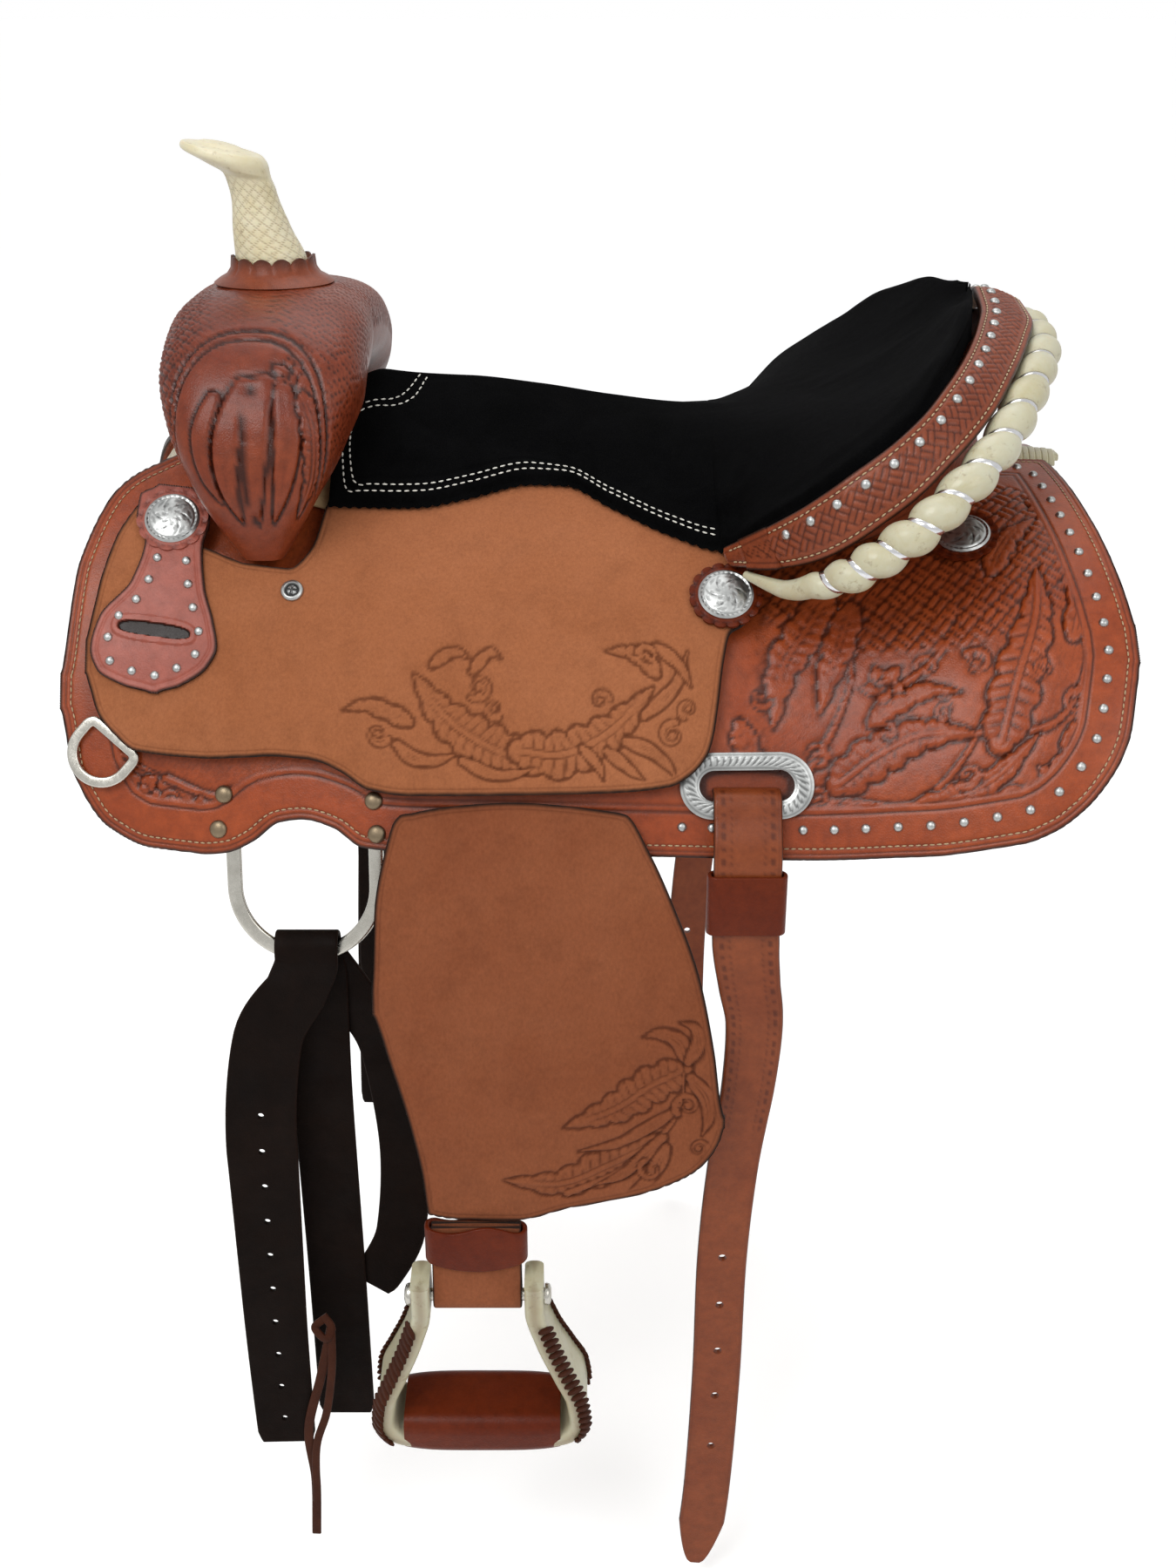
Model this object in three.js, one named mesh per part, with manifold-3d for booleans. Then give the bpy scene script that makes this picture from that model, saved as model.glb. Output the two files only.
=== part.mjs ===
// Western saddle with a rawhide horn, padded suede seat, square skirts, fenders and stirrups.
// Frame: millimetres, +X towards the cantle, -Y is the near side, +Z up. The origin is the middle of
// the flat underside of the ground seat, on the centre plane, in the channel between the tree bars.
import * as THREE from 'three';
import Module from 'manifold-3d';
import { mergeVertices } from 'three/addons/utils/BufferGeometryUtils.js';

const wasm = await Module();
wasm.setup();

// ---------------------------------------------------------------- driving dimensions
const GAP = 0.35; // free space between neighbouring pieces
const SPINE = { front: 28, middle: -6, rear: -28 }; // height of the horse's back line
const ZONES = { front: [-330, -110], rear: [110, 330] }; // where the front and rear shapes fade in
const GIRTH = [0, 50, 100, 160, 230, 330, 420, 700]; // arc length down the side from the spine
const SLOPE = {
  front: [32, 38, 44, 52, 62, 74, 82, 88],
  middle: [20, 34, 34, 42, 56, 70, 82, 89],
  rear: [4, 9, 17, 30, 47, 66, 78, 88],
}; // steepness in degrees at each arc length

const FLEECE = [-16, -4]; // layers, as heights above the skirt's inner face
const SKIRT = [0, 5];
const BAR = [7.5, 9.5];
const FENDER = [8, 12];
const JOCKEY = [12.6, 17];
const SEAT_EDGE = 23; // height of the seat's pinked lower edge
const PADDING = 10;

const CHANNEL = { half: 21, top: 0 }; // flat underside of the ground seat
const SWELL_WALL = 3.5;
const HORN_WALL = 4;
const BINDING = 4; // thickness of the tooled band on the cantle
const RIGGING_DEE = { x: -187, s: 298, h: -13, width: 104, drop: 109, bar: 10, thick: 4.5, hang: 78 };
const BREAST_DEE = { x: -309, s: 268, h: 8.4, width: 46, drop: 36, bar: 7, thick: 3.6, turn: 38.5 };
const LATIGO = { width: 42, thick: 3.5, slack: 8 };
const SLOT = { x: 102, s: 283, width: 86, height: 43, opening: [61, 20], thick: 1.8 };
const BILLET = { thick: 5, y: -240, width: [44, 44, 38, 35] };
const KEEPER = { top: -238, length: 42, inner: [46, 7], outer: [51, 12.5] };
const FENDER_EDGE = 291; // arc length where the fender leaves the jockey
const STIRRUP = { x: -76, y: -276, bolt: -545, tilt: 9, tread: 112, depth: 50 };
const NECK = { width: 61, top: -486, thick: 9.2 };
const HOBBLE = { width: 71, top: -485.5, height: 29, thick: 3 };

// ---------------------------------------------------------------- materials
const TAN = 0xb0714a;
const TOOLED = 0x9a4a26;
const DARK = 0x7a2c16;
const finish = (color, roughness, metalness = 0) =>
  new THREE.MeshStandardMaterial({ color, roughness, metalness });
const MATERIAL = {
  wood: finish(0xb89468, 0.8),
  roughout: finish(TAN, 0.9),
  tooled: finish(TOOLED, 0.45),
  dark: finish(DARK, 0.45),
  suede: finish(0x0c0c0d, 0.95),
  rawhide: finish(0xd8cfae, 0.5),
  fleece: finish(0xd9c79a, 1),
  latigo: finish(0x1e1512, 0.6),
  nickel: finish(0xb8b6ac, 0.3, 1),
};

// ---------------------------------------------------------------- small maths
const point = (x, y, z) => new THREE.Vector3(x, y, z);
const mix = (a, b, t) => a + (b - a) * t;
const clamp01 = (t) => Math.min(1, Math.max(0, t));
const radians = THREE.MathUtils.degToRad;

function fade(from, to, value) {
  const t = clamp01((value - from) / (to - from));
  return t * t * (3 - 2 * t);
}

// Straight-line interpolation through ascending keys.
function lookUp(keys, values, at) {
  let i = 1;
  while (i < keys.length - 1 && at > keys[i]) i += 1;
  const t = clamp01((at - keys[i - 1]) / (keys[i] - keys[i - 1]));
  return mix(values[i - 1], values[i], t);
}

// Smooth curve without overshoot through [key, value, value, ...] rows, as a function of the key.
function smoothRows(rows) {
  const slopes = rows.map((row, i) => {
    if (i === 0 || i === rows.length - 1) return row.map(() => 0);
    return row.map((value, k) => {
      const before = (value - rows[i - 1][k]) / (row[0] - rows[i - 1][0]);
      const after = (rows[i + 1][k] - value) / (rows[i + 1][0] - row[0]);
      return before * after <= 0 ? 0 : (2 * before * after) / (before + after);
    });
  });
  return (at) => {
    let i = 1;
    while (i < rows.length - 1 && at > rows[i][0]) i += 1;
    const span = rows[i][0] - rows[i - 1][0];
    const t = clamp01((at - rows[i - 1][0]) / span);
    return rows[i].slice(1).map((value, k) => {
      const start = rows[i - 1][k + 1];
      const a = slopes[i - 1][k + 1] * span;
      const b = slopes[i][k + 1] * span;
      const rise = t * t * (3 - 2 * t);
      return start + (value - start) * rise + a * t * (1 - t) * (1 - t) - b * t * t * (1 - t);
    });
  };
}

const edge = (points) => {
  const curve = smoothRows(points);
  return (x) => curve(x)[0];
};

// Evenly spread values from a to b that crowd towards both ends.
function crowded(a, b, count) {
  return Array.from({ length: count + 1 }, (_, i) => mix(a, b, 0.5 - 0.5 * Math.cos((Math.PI * i) / count)));
}

// ---------------------------------------------------------------- the horse-shaped base surface
function zoneWeights(x) {
  const front = 1 - fade(...ZONES.front, x);
  const rear = fade(...ZONES.rear, x);
  return { front, middle: 1 - front - rear, rear };
}

function slopeAt(x, s) {
  const weights = zoneWeights(x);
  let degrees = 0;
  for (const zone of Object.keys(weights)) degrees += weights[zone] * lookUp(GIRTH, SLOPE[zone], s);
  return radians(degrees);
}

function spineHeight(x) {
  const weights = zoneWeights(x);
  return weights.front * SPINE.front + weights.middle * SPINE.middle + weights.rear * SPINE.rear;
}

// The near-side point at station x, arc length s down from the spine, height h above the surface.
function onBase(x, s, h) {
  const steps = Math.max(1, Math.round(s / 10));
  const ds = s / steps;
  let y = 0;
  let z = spineHeight(x);
  for (let i = 0; i < steps; i += 1) {
    const angle = slopeAt(x, (i + 0.5) * ds);
    y -= Math.cos(angle) * ds;
    z -= Math.sin(angle) * ds;
  }
  const angle = slopeAt(x, s);
  return point(x, y - h * Math.sin(angle), z + h * Math.cos(angle));
}

// Height of the layer h above the base surface, over a plan position.
function heightOver(x, y, h) {
  let low = 0;
  let high = 420;
  for (let i = 0; i < 24; i += 1) {
    const s = (low + high) / 2;
    if (-onBase(x, s, h).y < Math.abs(y)) low = s;
    else high = s;
  }
  return onBase(x, low, h).z;
}

// Local frame on the base: u along +X, v up the side, n out of the surface, turned about n.
function frameOn(x, s, h, turn = 0, reach = 18) {
  const u = onBase(x + reach, s, h).sub(onBase(x - reach, s, h)).normalize();
  const down = onBase(x, s + 18, h).sub(onBase(x, s - 18, h)).normalize();
  const n = down.clone().cross(u).normalize();
  const v = n.clone().cross(u);
  u.applyAxisAngle(n, radians(-turn));
  v.applyAxisAngle(n, radians(-turn));
  return new THREE.Matrix4().makeBasis(u, v, n).setPosition(onBase(x, s, h));
}

// ---------------------------------------------------------------- solid builders
function signedVolume(positions, index) {
  const [a, b, c] = [point(0, 0, 0), point(0, 0, 0), point(0, 0, 0)];
  let volume = 0;
  for (let i = 0; i < index.length; i += 3) {
    a.fromArray(positions, index[i] * 3);
    b.fromArray(positions, index[i + 1] * 3);
    c.fromArray(positions, index[i + 2] * 3);
    volume += a.dot(b.cross(c));
  }
  return volume;
}

function closedGeometry(positions, index) {
  if (signedVolume(positions, index) < 0) index.reverse();
  const geometry = new THREE.BufferGeometry();
  geometry.setAttribute('position', new THREE.Float32BufferAttribute(positions, 3));
  geometry.setIndex(index);
  return geometry;
}

// A sheet body between two grids of points that have the same rows and columns.
function slab(top, bottom) {
  const rows = top.length;
  const columns = top[0].length;
  const positions = [top, bottom].flat(2).flatMap((p) => [p.x, p.y, p.z]);
  const index = [];
  const upper = (i, j) => i * columns + j;
  const lower = (i, j) => rows * columns + i * columns + j;
  const quad = (a, b, c, d) => index.push(a, b, c, a, c, d);
  for (let i = 0; i < rows - 1; i += 1) {
    for (let j = 0; j < columns - 1; j += 1) {
      quad(upper(i, j), upper(i + 1, j), upper(i + 1, j + 1), upper(i, j + 1));
      quad(lower(i, j), lower(i, j + 1), lower(i + 1, j + 1), lower(i + 1, j));
    }
    const j = columns - 1;
    quad(upper(i, 0), lower(i, 0), lower(i + 1, 0), upper(i + 1, 0));
    quad(upper(i, j), upper(i + 1, j), lower(i + 1, j), lower(i, j));
  }
  for (let j = 0; j < columns - 1; j += 1) {
    const i = rows - 1;
    quad(upper(0, j), upper(0, j + 1), lower(0, j + 1), lower(0, j));
    quad(upper(i, j), lower(i, j), lower(i, j + 1), upper(i, j + 1));
  }
  return closedGeometry(positions, index);
}

// Closed loops of points joined in order, with a fan over each end that is asked for.
function skin(rings, capStart = true, capEnd = true) {
  const count = rings[0].length;
  const positions = rings.flat().flatMap((p) => [p.x, p.y, p.z]);
  const index = [];
  for (let i = 0; i < rings.length - 1; i += 1) {
    for (let j = 0; j < count; j += 1) {
      const k = (j + 1) % count;
      index.push(i * count + j, i * count + k, (i + 1) * count + k);
      index.push(i * count + j, (i + 1) * count + k, (i + 1) * count + j);
    }
  }
  const fan = (ring, first, forward) => {
    const centre = ring.reduce((sum, p) => sum.add(p), point(0, 0, 0)).divideScalar(count);
    positions.push(centre.x, centre.y, centre.z);
    const hub = positions.length / 3 - 1;
    for (let j = 0; j < count; j += 1) {
      const pair = [first + j, first + ((j + 1) % count)];
      index.push(hub, ...(forward ? pair : pair.reverse()));
    }
  };
  if (capStart) fan(rings[0], 0, false);
  if (capEnd) fan(rings[rings.length - 1], (rings.length - 1) * count, true);
  return { positions, index };
}

function loft(rings) {
  const { positions, index } = skin(rings);
  return closedGeometry(positions, index);
}

// A wall between an outer and an inner loft, open at the start, and at the end unless it is capped.
function shell(outer, inner, capped) {
  const out = skin(outer, false, capped);
  const within = skin(inner, false, capped);
  const count = outer[0].length;
  const offset = out.positions.length / 3;
  const positions = [...out.positions, ...within.positions];
  const index = [...out.index, ...within.index.map((i) => i + offset).reverse()];
  const rim = (a, b, forward) => {
    for (let j = 0; j < count; j += 1) {
      const k = (j + 1) % count;
      const quad = [a + j, b + j, b + k, a + j, b + k, a + k];
      index.push(...(forward ? quad : quad.reverse()));
    }
  };
  rim(0, offset, true);
  const last = (outer.length - 1) * count;
  if (!capped) rim(last, offset + last, false);
  return closedGeometry(positions, index);
}

function mirrored(geometry) {
  const copy = geometry.index ? geometry.toNonIndexed() : geometry.clone();
  const flat = copy.attributes.position.array;
  for (let i = 0; i < flat.length; i += 9) {
    const second = flat.slice(i + 3, i + 6);
    flat.copyWithin(i + 3, i + 6, i + 9);
    flat.set(second, i + 6);
    for (let k = 1; k < 9; k += 3) flat[i + k] *= -1;
  }
  for (const name of ['normal', 'uv']) copy.deleteAttribute(name);
  return mergeVertices(copy, 1e-4);
}

function toSolid(geometry) {
  const bare = geometry.clone();
  bare.deleteAttribute('normal');
  bare.deleteAttribute('uv');
  const merged = mergeVertices(bare, 1e-4);
  const vertProperties = new Float32Array(merged.attributes.position.array);
  const triVerts = new Uint32Array(merged.index.array);
  return new wasm.Manifold(new wasm.Mesh({ numProp: 3, vertProperties, triVerts }));
}

function fromSolid(solid) {
  const mesh = solid.getMesh();
  return closedGeometry(Array.from(mesh.vertProperties), Array.from(mesh.triVerts));
}

const cut = (geometry, tool) => fromSolid(toSolid(geometry).subtract(toSolid(tool)));
const join = (geometry, other) => fromSolid(toSolid(geometry).add(toSolid(other)));

// A leather sheet on the base between two edges that run in x, and between heights low and high.
function sheet(upperEdge, lowerEdge, stations, rows, [low, high]) {
  const layer = (h) =>
    stations.map((x) =>
      Array.from({ length: rows + 1 }, (_, j) => {
        const s = mix(upperEdge(x), lowerEdge(x), j / rows);
        return onBase(x, s, typeof h === 'function' ? h(x, s) : h);
      }),
    );
  return slab(layer(high), layer(low));
}

// A strap along a list of centre points; facing is the direction out of its broad face.
function strap(centres, facings, widths, thick) {
  const faces = [0.5, -0.5].map((side) =>
    centres.map((centre, i) => {
      const ahead = centres[Math.min(i + 1, centres.length - 1)];
      const behind = centres[Math.max(i - 1, 0)];
      const along = ahead.clone().sub(behind).normalize();
      const across = along.clone().cross(facings[i]).normalize();
      const out = across.clone().cross(along).normalize();
      const middle = centre.clone().addScaledVector(out, side * thick);
      return [-0.5, 0.5].map((k) => middle.clone().addScaledVector(across, k * widths[i]));
    }),
  );
  return slab(faces[0], faces[1]);
}

function ellipseRing(centre, u, v, radiusU, radiusV, sides, power = 2) {
  return Array.from({ length: sides }, (_, k) => {
    const angle = (2 * Math.PI * k) / sides;
    const [c, s] = [Math.cos(angle), Math.sin(angle)];
    const shape = (w) => Math.sign(w) * Math.abs(w) ** (2 / power);
    return centre
      .clone()
      .addScaledVector(u, radiusU * shape(c))
      .addScaledVector(v, radiusV * shape(s));
  });
}

function ovalPath(Kind, width, height) {
  const oval = new Kind();
  const r = height / 2;
  const straight = width / 2 - r;
  oval.absarc(straight, 0, r, -Math.PI / 2, Math.PI / 2);
  oval.absarc(-straight, 0, r, Math.PI / 2, (3 * Math.PI) / 2);
  oval.closePath();
  return oval;
}

// ---------------------------------------------------------------- scene assembly
const saddle = new THREE.Group();

function add(name, geometry, material, parent = saddle) {
  const mesh = new THREE.Mesh(geometry, material);
  mesh.name = name;
  parent.add(mesh);
  return mesh;
}

// The near-side shape, and its mirror image on the off side.
function addPair(name, geometry, material) {
  add(`${name}_left`, geometry, material);
  add(`${name}_right`, mirrored(geometry), material);
}

// ---------------------------------------------------------------- tree
function barTop(x) {
  return BAR[1] + 6 * (1 - fade(-215, -185, x)) + 5 * fade(120, 180, x);
}

function treeBar() {
  const outer = edge([[-255, 80], [-200, 92], [-60, 100], [120, 104], [236, 72]]);
  const swelling = (x, s) => {
    const across = clamp01((s - 25) / (outer(x) - 25));
    return mix(BAR[0] + 1.2, barTop(x), Math.sin(Math.PI * clamp01(across * 0.9 + 0.08)));
  };
  return sheet(() => 25, outer, crowded(-255, 236, 11), 3, [BAR[0], swelling]);
}

// Rows of y, z, in-plane half thickness, half length in x and x of the centre, along the arch.
const ARCH = [
  [0, 122, -62, 12, 14, -213],
  [1, 123, -24, 26, 37, -213],
  [2, 113, 11, 33, 55, -213],
  [3, 86, 45, 35, 66, -212],
  [4, 45, 62, 33, 66, -212],
  [5, 0, 67, 31, 63, -212],
];

function archRings(inset, sides) {
  const nearHalf = smoothRows(ARCH);
  const at = (t) => {
    const near = t <= 5;
    const [y, z, thick, length, x] = nearHalf(near ? t : 10 - t);
    return { centre: point(x, near ? -y : y, z), thick: thick - inset, length: length - inset };
  };
  const rings = [];
  for (let t = 0; t <= 10.001; t += 10 / 14) {
    const here = at(t);
    const along = at(Math.min(10, t + 0.05)).centre.sub(at(Math.max(0, t - 0.05)).centre);
    along.x = 0;
    const outward = point(1, 0, 0).cross(along.normalize()).normalize();
    rings.push(ellipseRing(here.centre, point(1, 0, 0), outward, here.length, here.thick, sides, 3));
  }
  return rings;
}

// Rows of z, x centre, half length in x, half width in y and forward tilt, up the horn.
const HORN = [
  [108, -216, 24, 24, 0],
  [131, -221, 19.5, 19.5, 0],
  [154, -225, 15.5, 16, 4],
  [164, -228, 16, 17, 10],
  [171, -236, 23, 24, 13],
  [178, -243, 29, 28, 12],
  [182, -244, 27, 27, 12],
  [184.5, -245, 15, 15, 12],
];

function hornRings(inset, rows) {
  return rows.map(([z, x, halfLength, halfWidth, tilt]) => {
    const u = point(Math.cos(radians(tilt)), 0, -Math.sin(radians(tilt)));
    return ellipseRing(point(x, 0, z), u, point(0, 1, 0), halfLength - inset, halfWidth - inset, 14);
  });
}

function hornCore() {
  const rows = HORN.slice(0, 4).map((row) => [...row]);
  rows.unshift([70, -213, 24, 24, 0]);
  return loft(hornRings(HORN_WALL + GAP, rows));
}

function hornSocket(extra) {
  const socket = new THREE.CylinderGeometry(extra + 21, extra + 21, 90, 18);
  socket.rotateX(Math.PI / 2);
  socket.translate(-214, 0, 114);
  return socket;
}

function hornWrap() {
  const inner = [...HORN.slice(0, 4), [169, -236, 14, 14, 10]];
  return cupShell(hornRings(0, HORN), hornRings(HORN_WALL, inner));
}

// A cup: outer and inner lofts may have different ring counts, and they share the open rim.
function cupShell(outer, inner) {
  const out = skin(outer, false, true);
  const within = skin(inner, false, true);
  const offset = out.positions.length / 3;
  const index = [...out.index, ...within.index.map((i) => i + offset).reverse()];
  const count = outer[0].length;
  for (let j = 0; j < count; j += 1) {
    const k = (j + 1) % count;
    index.push(j, offset + j, offset + k, j, offset + k, k);
  }
  return closedGeometry([...out.positions, ...within.positions], index);
}

function hornCollar() {
  const profile = [[25, 99.5], [34, 98.5], [38, 97.5], [37, 100.5], [30, 104], [26, 107.5], [24.8, 107.2]];
  const outline = [...profile, profile[0]].map(([r, z]) => new THREE.Vector2(r, z));
  const ring = new THREE.LatheGeometry(outline, 20);
  ring.rotateX(Math.PI / 2);
  ring.translate(-215, 0, 0);
  return ring;
}

// ---------------------------------------------------------------- seat and cantle
// Plan of the seat: x, half width and edge height, where it lies on the jockeys and then on the rim.
const SEAT_FRONT = edge([
  [-173, 100], [-143, 98], [-110, 96], [-79, 88], [-38, 76], [-15, 77], [15, 96], [55, 119], [89, 131],
]);
const RIM = [
  [89, 128, -53],
  [113, 162, -28],
  [133, 181, -9],
  [154, 191, 10],
  [177, 187, 26],
  [201, 172, 43],
  [218, 150, 57],
  [235, 115, 68],
  [249, 75, 78],
  [258, 38, 86],
  [261, 0, 93],
];
const rimAt = smoothRows(RIM);
const CROWN = edge([[-175, 25], [-143, 36], [-83, 36], [-33, 31], [15, 23], [60, 18], [95, 17]]);

function crownHeight(x) {
  return x < 95 ? CROWN(x) : 17 + 76 * ((x - 95) / 166) ** 3;
}

function seatEdge(x) {
  if (x > RIM[0][0]) {
    const [y, z] = rimAt(x);
    return { y, z };
  }
  const p = onBase(x, SEAT_FRONT(x), SEAT_EDGE);
  return { y: -p.y, z: p.z };
}

function seatHeight(x, y) {
  const rim = seatEdge(x);
  const w = Math.min(1, Math.abs(y) / rim.y);
  const padded = 23 * fade(95, 170, x) * w ** 2 * (1 - w ** 6);
  return mix(crownHeight(x), rim.z, w ** mix(1.4, 2, fade(60, 180, x))) + padded;
}

function seatLayer(stations, columns, shape) {
  return stations.map((x) => {
    const half = seatEdge(x).y - shape.margin;
    return Array.from({ length: columns + 1 }, (_, j) => {
      const w = -Math.cos((Math.PI * j) / columns);
      return point(x, w * half, shape.height(x, w * half, Math.abs(w)));
    });
  });
}

const SEAT_STATIONS = [-173, -160, -140, -110, -80, -50, -20, 10, 40, 65];
SEAT_STATIONS.push(89, 112, 133, 154, 177, 201, 220, 236, 249, 258);

function seatCover() {
  const padding = (w) => mix(PADDING, 4.4, w ** 3);
  const margin = 3;
  const top = seatLayer(SEAT_STATIONS, 10, { margin, height: (x, y) => seatHeight(x, y) });
  const under = (x, y, w) => seatHeight(x, y) - padding(w);
  return slab(top, seatLayer(SEAT_STATIONS, 10, { margin, height: under }));
}

function groundSeat() {
  const stations = [-162, ...SEAT_STATIONS.slice(2, -2)];
  const columns = (x) => {
    const half = seatEdge(x).y - 28;
    const wide = [1, 0.8, 0.6, 0.4, 0.27].map((w) => -Math.max(w * half, CHANNEL.half + 7 + 3 * w));
    const near = [...wide, -CHANNEL.half - 0.4, -CHANNEL.half, 0];
    return [...near, ...near.slice(0, -1).reverse().map((y) => -y)];
  };
  const upper = (x, y) => seatHeight(x, y) - PADDING - 3.5;
  const lower = (x, y) => {
    if (x > 120) return upper(x, y) - 5;
    if (Math.abs(y) <= CHANNEL.half) return Math.max(CHANNEL.top, spineHeight(x) + 6);
    return Math.min(Math.max(heightOver(x, y, barTop(x) + 2), upper(x, y) - 5), upper(x, y) - 1.5);
  };
  const layer = (height) => stations.map((x) => columns(x).map((y) => point(x, y, height(x, y))));
  return slab(layer(upper), layer(lower));
}

// Rows along the near half of the band's outer edge: x, half width and height.
const BAND_OUTER = [
  [94, 137, -66],
  [124, 175, -55],
  [148, 195, -42],
  [172, 204, -24],
  [197, 202, -5],
  [225, 187, 19],
  [250, 160, 39],
  [269, 125, 56],
  [287, 80, 70],
  [298, 40, 78],
  [299, 0, 83],
];
// Rows along the near half of the rawhide roll: x, half width, height and radius.
const ROLL = [
  [102, 150, -67, 2.6],
  [122, 176, -68, 5.5],
  [146, 198, -58, 9],
  [171, 209, -43, 12],
  [198, 210, -23, 12.5],
  [226, 196, -1, 12.5],
  [253, 168, 20, 12.5],
  [274, 130, 38, 12.5],
  [293, 83, 52, 12.5],
  [304, 41, 60, 12.5],
  [306, 0, 64, 12.5],
];

// A smooth curve through rows that runs from the near tip, t = 0, round the back to the off tip, t = 2.
function aroundCantle(rows) {
  const near = smoothRows(rows.map((row, i) => [i / (rows.length - 1), ...row]));
  return (t) => {
    const [x, y, z, radius] = near(t <= 1 ? t : 2 - t);
    return { place: point(x, t <= 1 ? -y : y, z), radius };
  };
}

const rim = aroundCantle(RIM);
const bandOuter = aroundCantle(BAND_OUTER);
const roll = aroundCantle(ROLL);

function bandFrame(t) {
  const inner = rim(t).place;
  const outer = bandOuter(t).place;
  const along = rim(Math.min(2, t + 0.01)).place.sub(rim(Math.max(0, t - 0.01)).place);
  const across = outer.clone().sub(inner);
  const up = along.clone().cross(across).normalize();
  if (up.z < 0) up.negate();
  return { inner, across, up };
}

function cantleBinding() {
  const columns = [0.1, 0.4, 0.7, 1];
  const layer = (drop) =>
    Array.from({ length: 29 }, (_, i) => {
      const { inner, across, up } = bandFrame((2 * i) / 28);
      return columns.map((w) => {
        const crowned = 3 * Math.sin(Math.PI * w) - drop;
        return inner.clone().addScaledVector(across, w).addScaledVector(up, crowned);
      });
    });
  return slab(layer(0), layer(BINDING));
}

function cantleRoll() {
  const rings = Array.from({ length: 27 }, (_, i) => {
    const t = (2 * i) / 26;
    const { place, radius } = roll(t);
    const along = roll(Math.min(2, t + 0.02)).place.sub(roll(Math.max(0, t - 0.02)).place).normalize();
    const out = along.clone().cross(point(0, 0, 1)).normalize();
    return ellipseRing(place, out, out.clone().cross(along), radius, radius, 8);
  });
  return loft(rings);
}

// The dished wooden board under the back of the seat.
function treeCantle() {
  const stations = [172, 186, 200, 216, 230, 242, 251];
  const height = (drop) => (x, y) => seatHeight(x, y) - PADDING - drop;
  const layer = (drop) => seatLayer(stations, 8, { margin: 14, height: height(drop) });
  return slab(layer(12), layer(20));
}

// The leather behind the cantle, from under the band down to the ends of the tree bars.
function cantleBack() {
  const span = [0.36, 1.64];
  const rows = Array.from({ length: 17 }, (_, i) => {
    const t = mix(...span, i / 16);
    const { inner, across, up } = bandFrame(t);
    const head = inner.clone().addScaledVector(across, 0.5).addScaledVector(up, -10);
    const turn = (Math.PI / 2) * ((t - 1) / (1 - span[0]));
    const foot = point(150 + 124 * Math.cos(turn), 112 * Math.sin(turn), 0);
    foot.z = heightOver(foot.x, foot.y, SKIRT[1] + 3);
    return { head, foot, out: point(Math.cos(turn), Math.sin(turn), 0) };
  });
  const layer = (shift) =>
    rows.map(({ head, foot, out }) =>
      [0, 0.35, 0.7, 1].map((w) => {
        const hollow = shift - 10 * Math.sin(Math.PI * w);
        return head.clone().lerp(foot, w).addScaledVector(out, hollow);
      }),
    );
  return slab(layer(3.5), layer(0));
}

// ---------------------------------------------------------------- skirts, fleece and jockeys
const SKIRT_TOP = edge([
  [-346.5, 226], [-344, 187], [-339, 156], [-330, 130], [-319, 101], [-308, 85], [-292, 73], [-278, 65],
  [-250, 40], [-225, 14], [-170, 14], [-140, 24], [140, 24], [170, 12], [330, 12], [331.5, 60], [336, 126],
  [342, 170], [345.5, 200],
]);
const SKIRT_BOTTOM = edge([
  [-346.5, 250], [-341, 283], [-332, 302], [-320, 322], [-305, 334], [-282, 339], [-260, 339], [-236, 336],
  [-224, 331], [-209, 319], [-197, 311], [-175, 308], [-163, 313], [-153, 320], [-143, 324], [-123, 325],
  [36, 328], [191, 333],
  [244, 336], [275, 334], [293, 327], [310, 314], [323, 298], [333, 280], [340, 256], [345.5, 226],
]);
const SKIRT_STATIONS = [...crowded(-346.5, -255, 5), -236, -218, -200, -182, -165, -145];
SKIRT_STATIONS.push(...[-110, -60, 0, 60, 110, 150, 190, 230], ...crowded(230, 345.5, 10).slice(4));

function skirt() {
  const body = sheet(SKIRT_TOP, SKIRT_BOTTOM, SKIRT_STATIONS, 6, SKIRT);
  return cut(body, slotTool(ovalPath(THREE.Shape, ...SLOT.opening), 30));
}

function slotTool(outline, depth) {
  const tool = new THREE.ExtrudeGeometry(outline, { depth, bevelEnabled: false, curveSegments: 6 });
  tool.translate(0, 0, -depth / 2);
  return tool.applyMatrix4(frameOn(SLOT.x, SLOT.s, SKIRT[1]));
}

function fleece() {
  const raised = (x) => fade(-264, -248, x) - fade(-128, -112, x);
  const lower = (x) => mix(SKIRT_BOTTOM(x) - 4, RIGGING_DEE.s - 12, raised(x));
  const upper = (x) => SKIRT_TOP(x) + 2;
  const middle = [-248, -215, -170, -128, -110, -55, 0, 55, 110];
  const stations = [...crowded(-343, -264, 4), ...middle, ...crowded(150, 322, 6)];
  const rows = [0, 50, 100, 150, 205, 260];
  const layer = (h) =>
    stations.map((x) => {
      const [a, b] = [upper(x), lower(x)];
      const between = rows.slice(1).map((s) => clampBetween(s, a, b, rows.indexOf(s)));
      return [a, ...between, b].map((s) => onBase(x, s, h));
    });
  return slab(layer(FLEECE[1]), layer(FLEECE[0]));
}

// Keeps a fixed row of the fleece inside its outline, where the outline is narrower than the row.
function clampBetween(s, a, b, row) {
  const margin = 2 + row;
  return Math.min(Math.max(s, a + margin), b - (8 - row));
}

function skirtLacing() {
  const stations = [300, 308, 316, 324, 330];
  const layer = (h) => stations.map((x) => [-11.5, 0, 11.5].map((y) => point(x, y, spineHeight(x) + h)));
  return slab(layer(6), layer(1));
}

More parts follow.
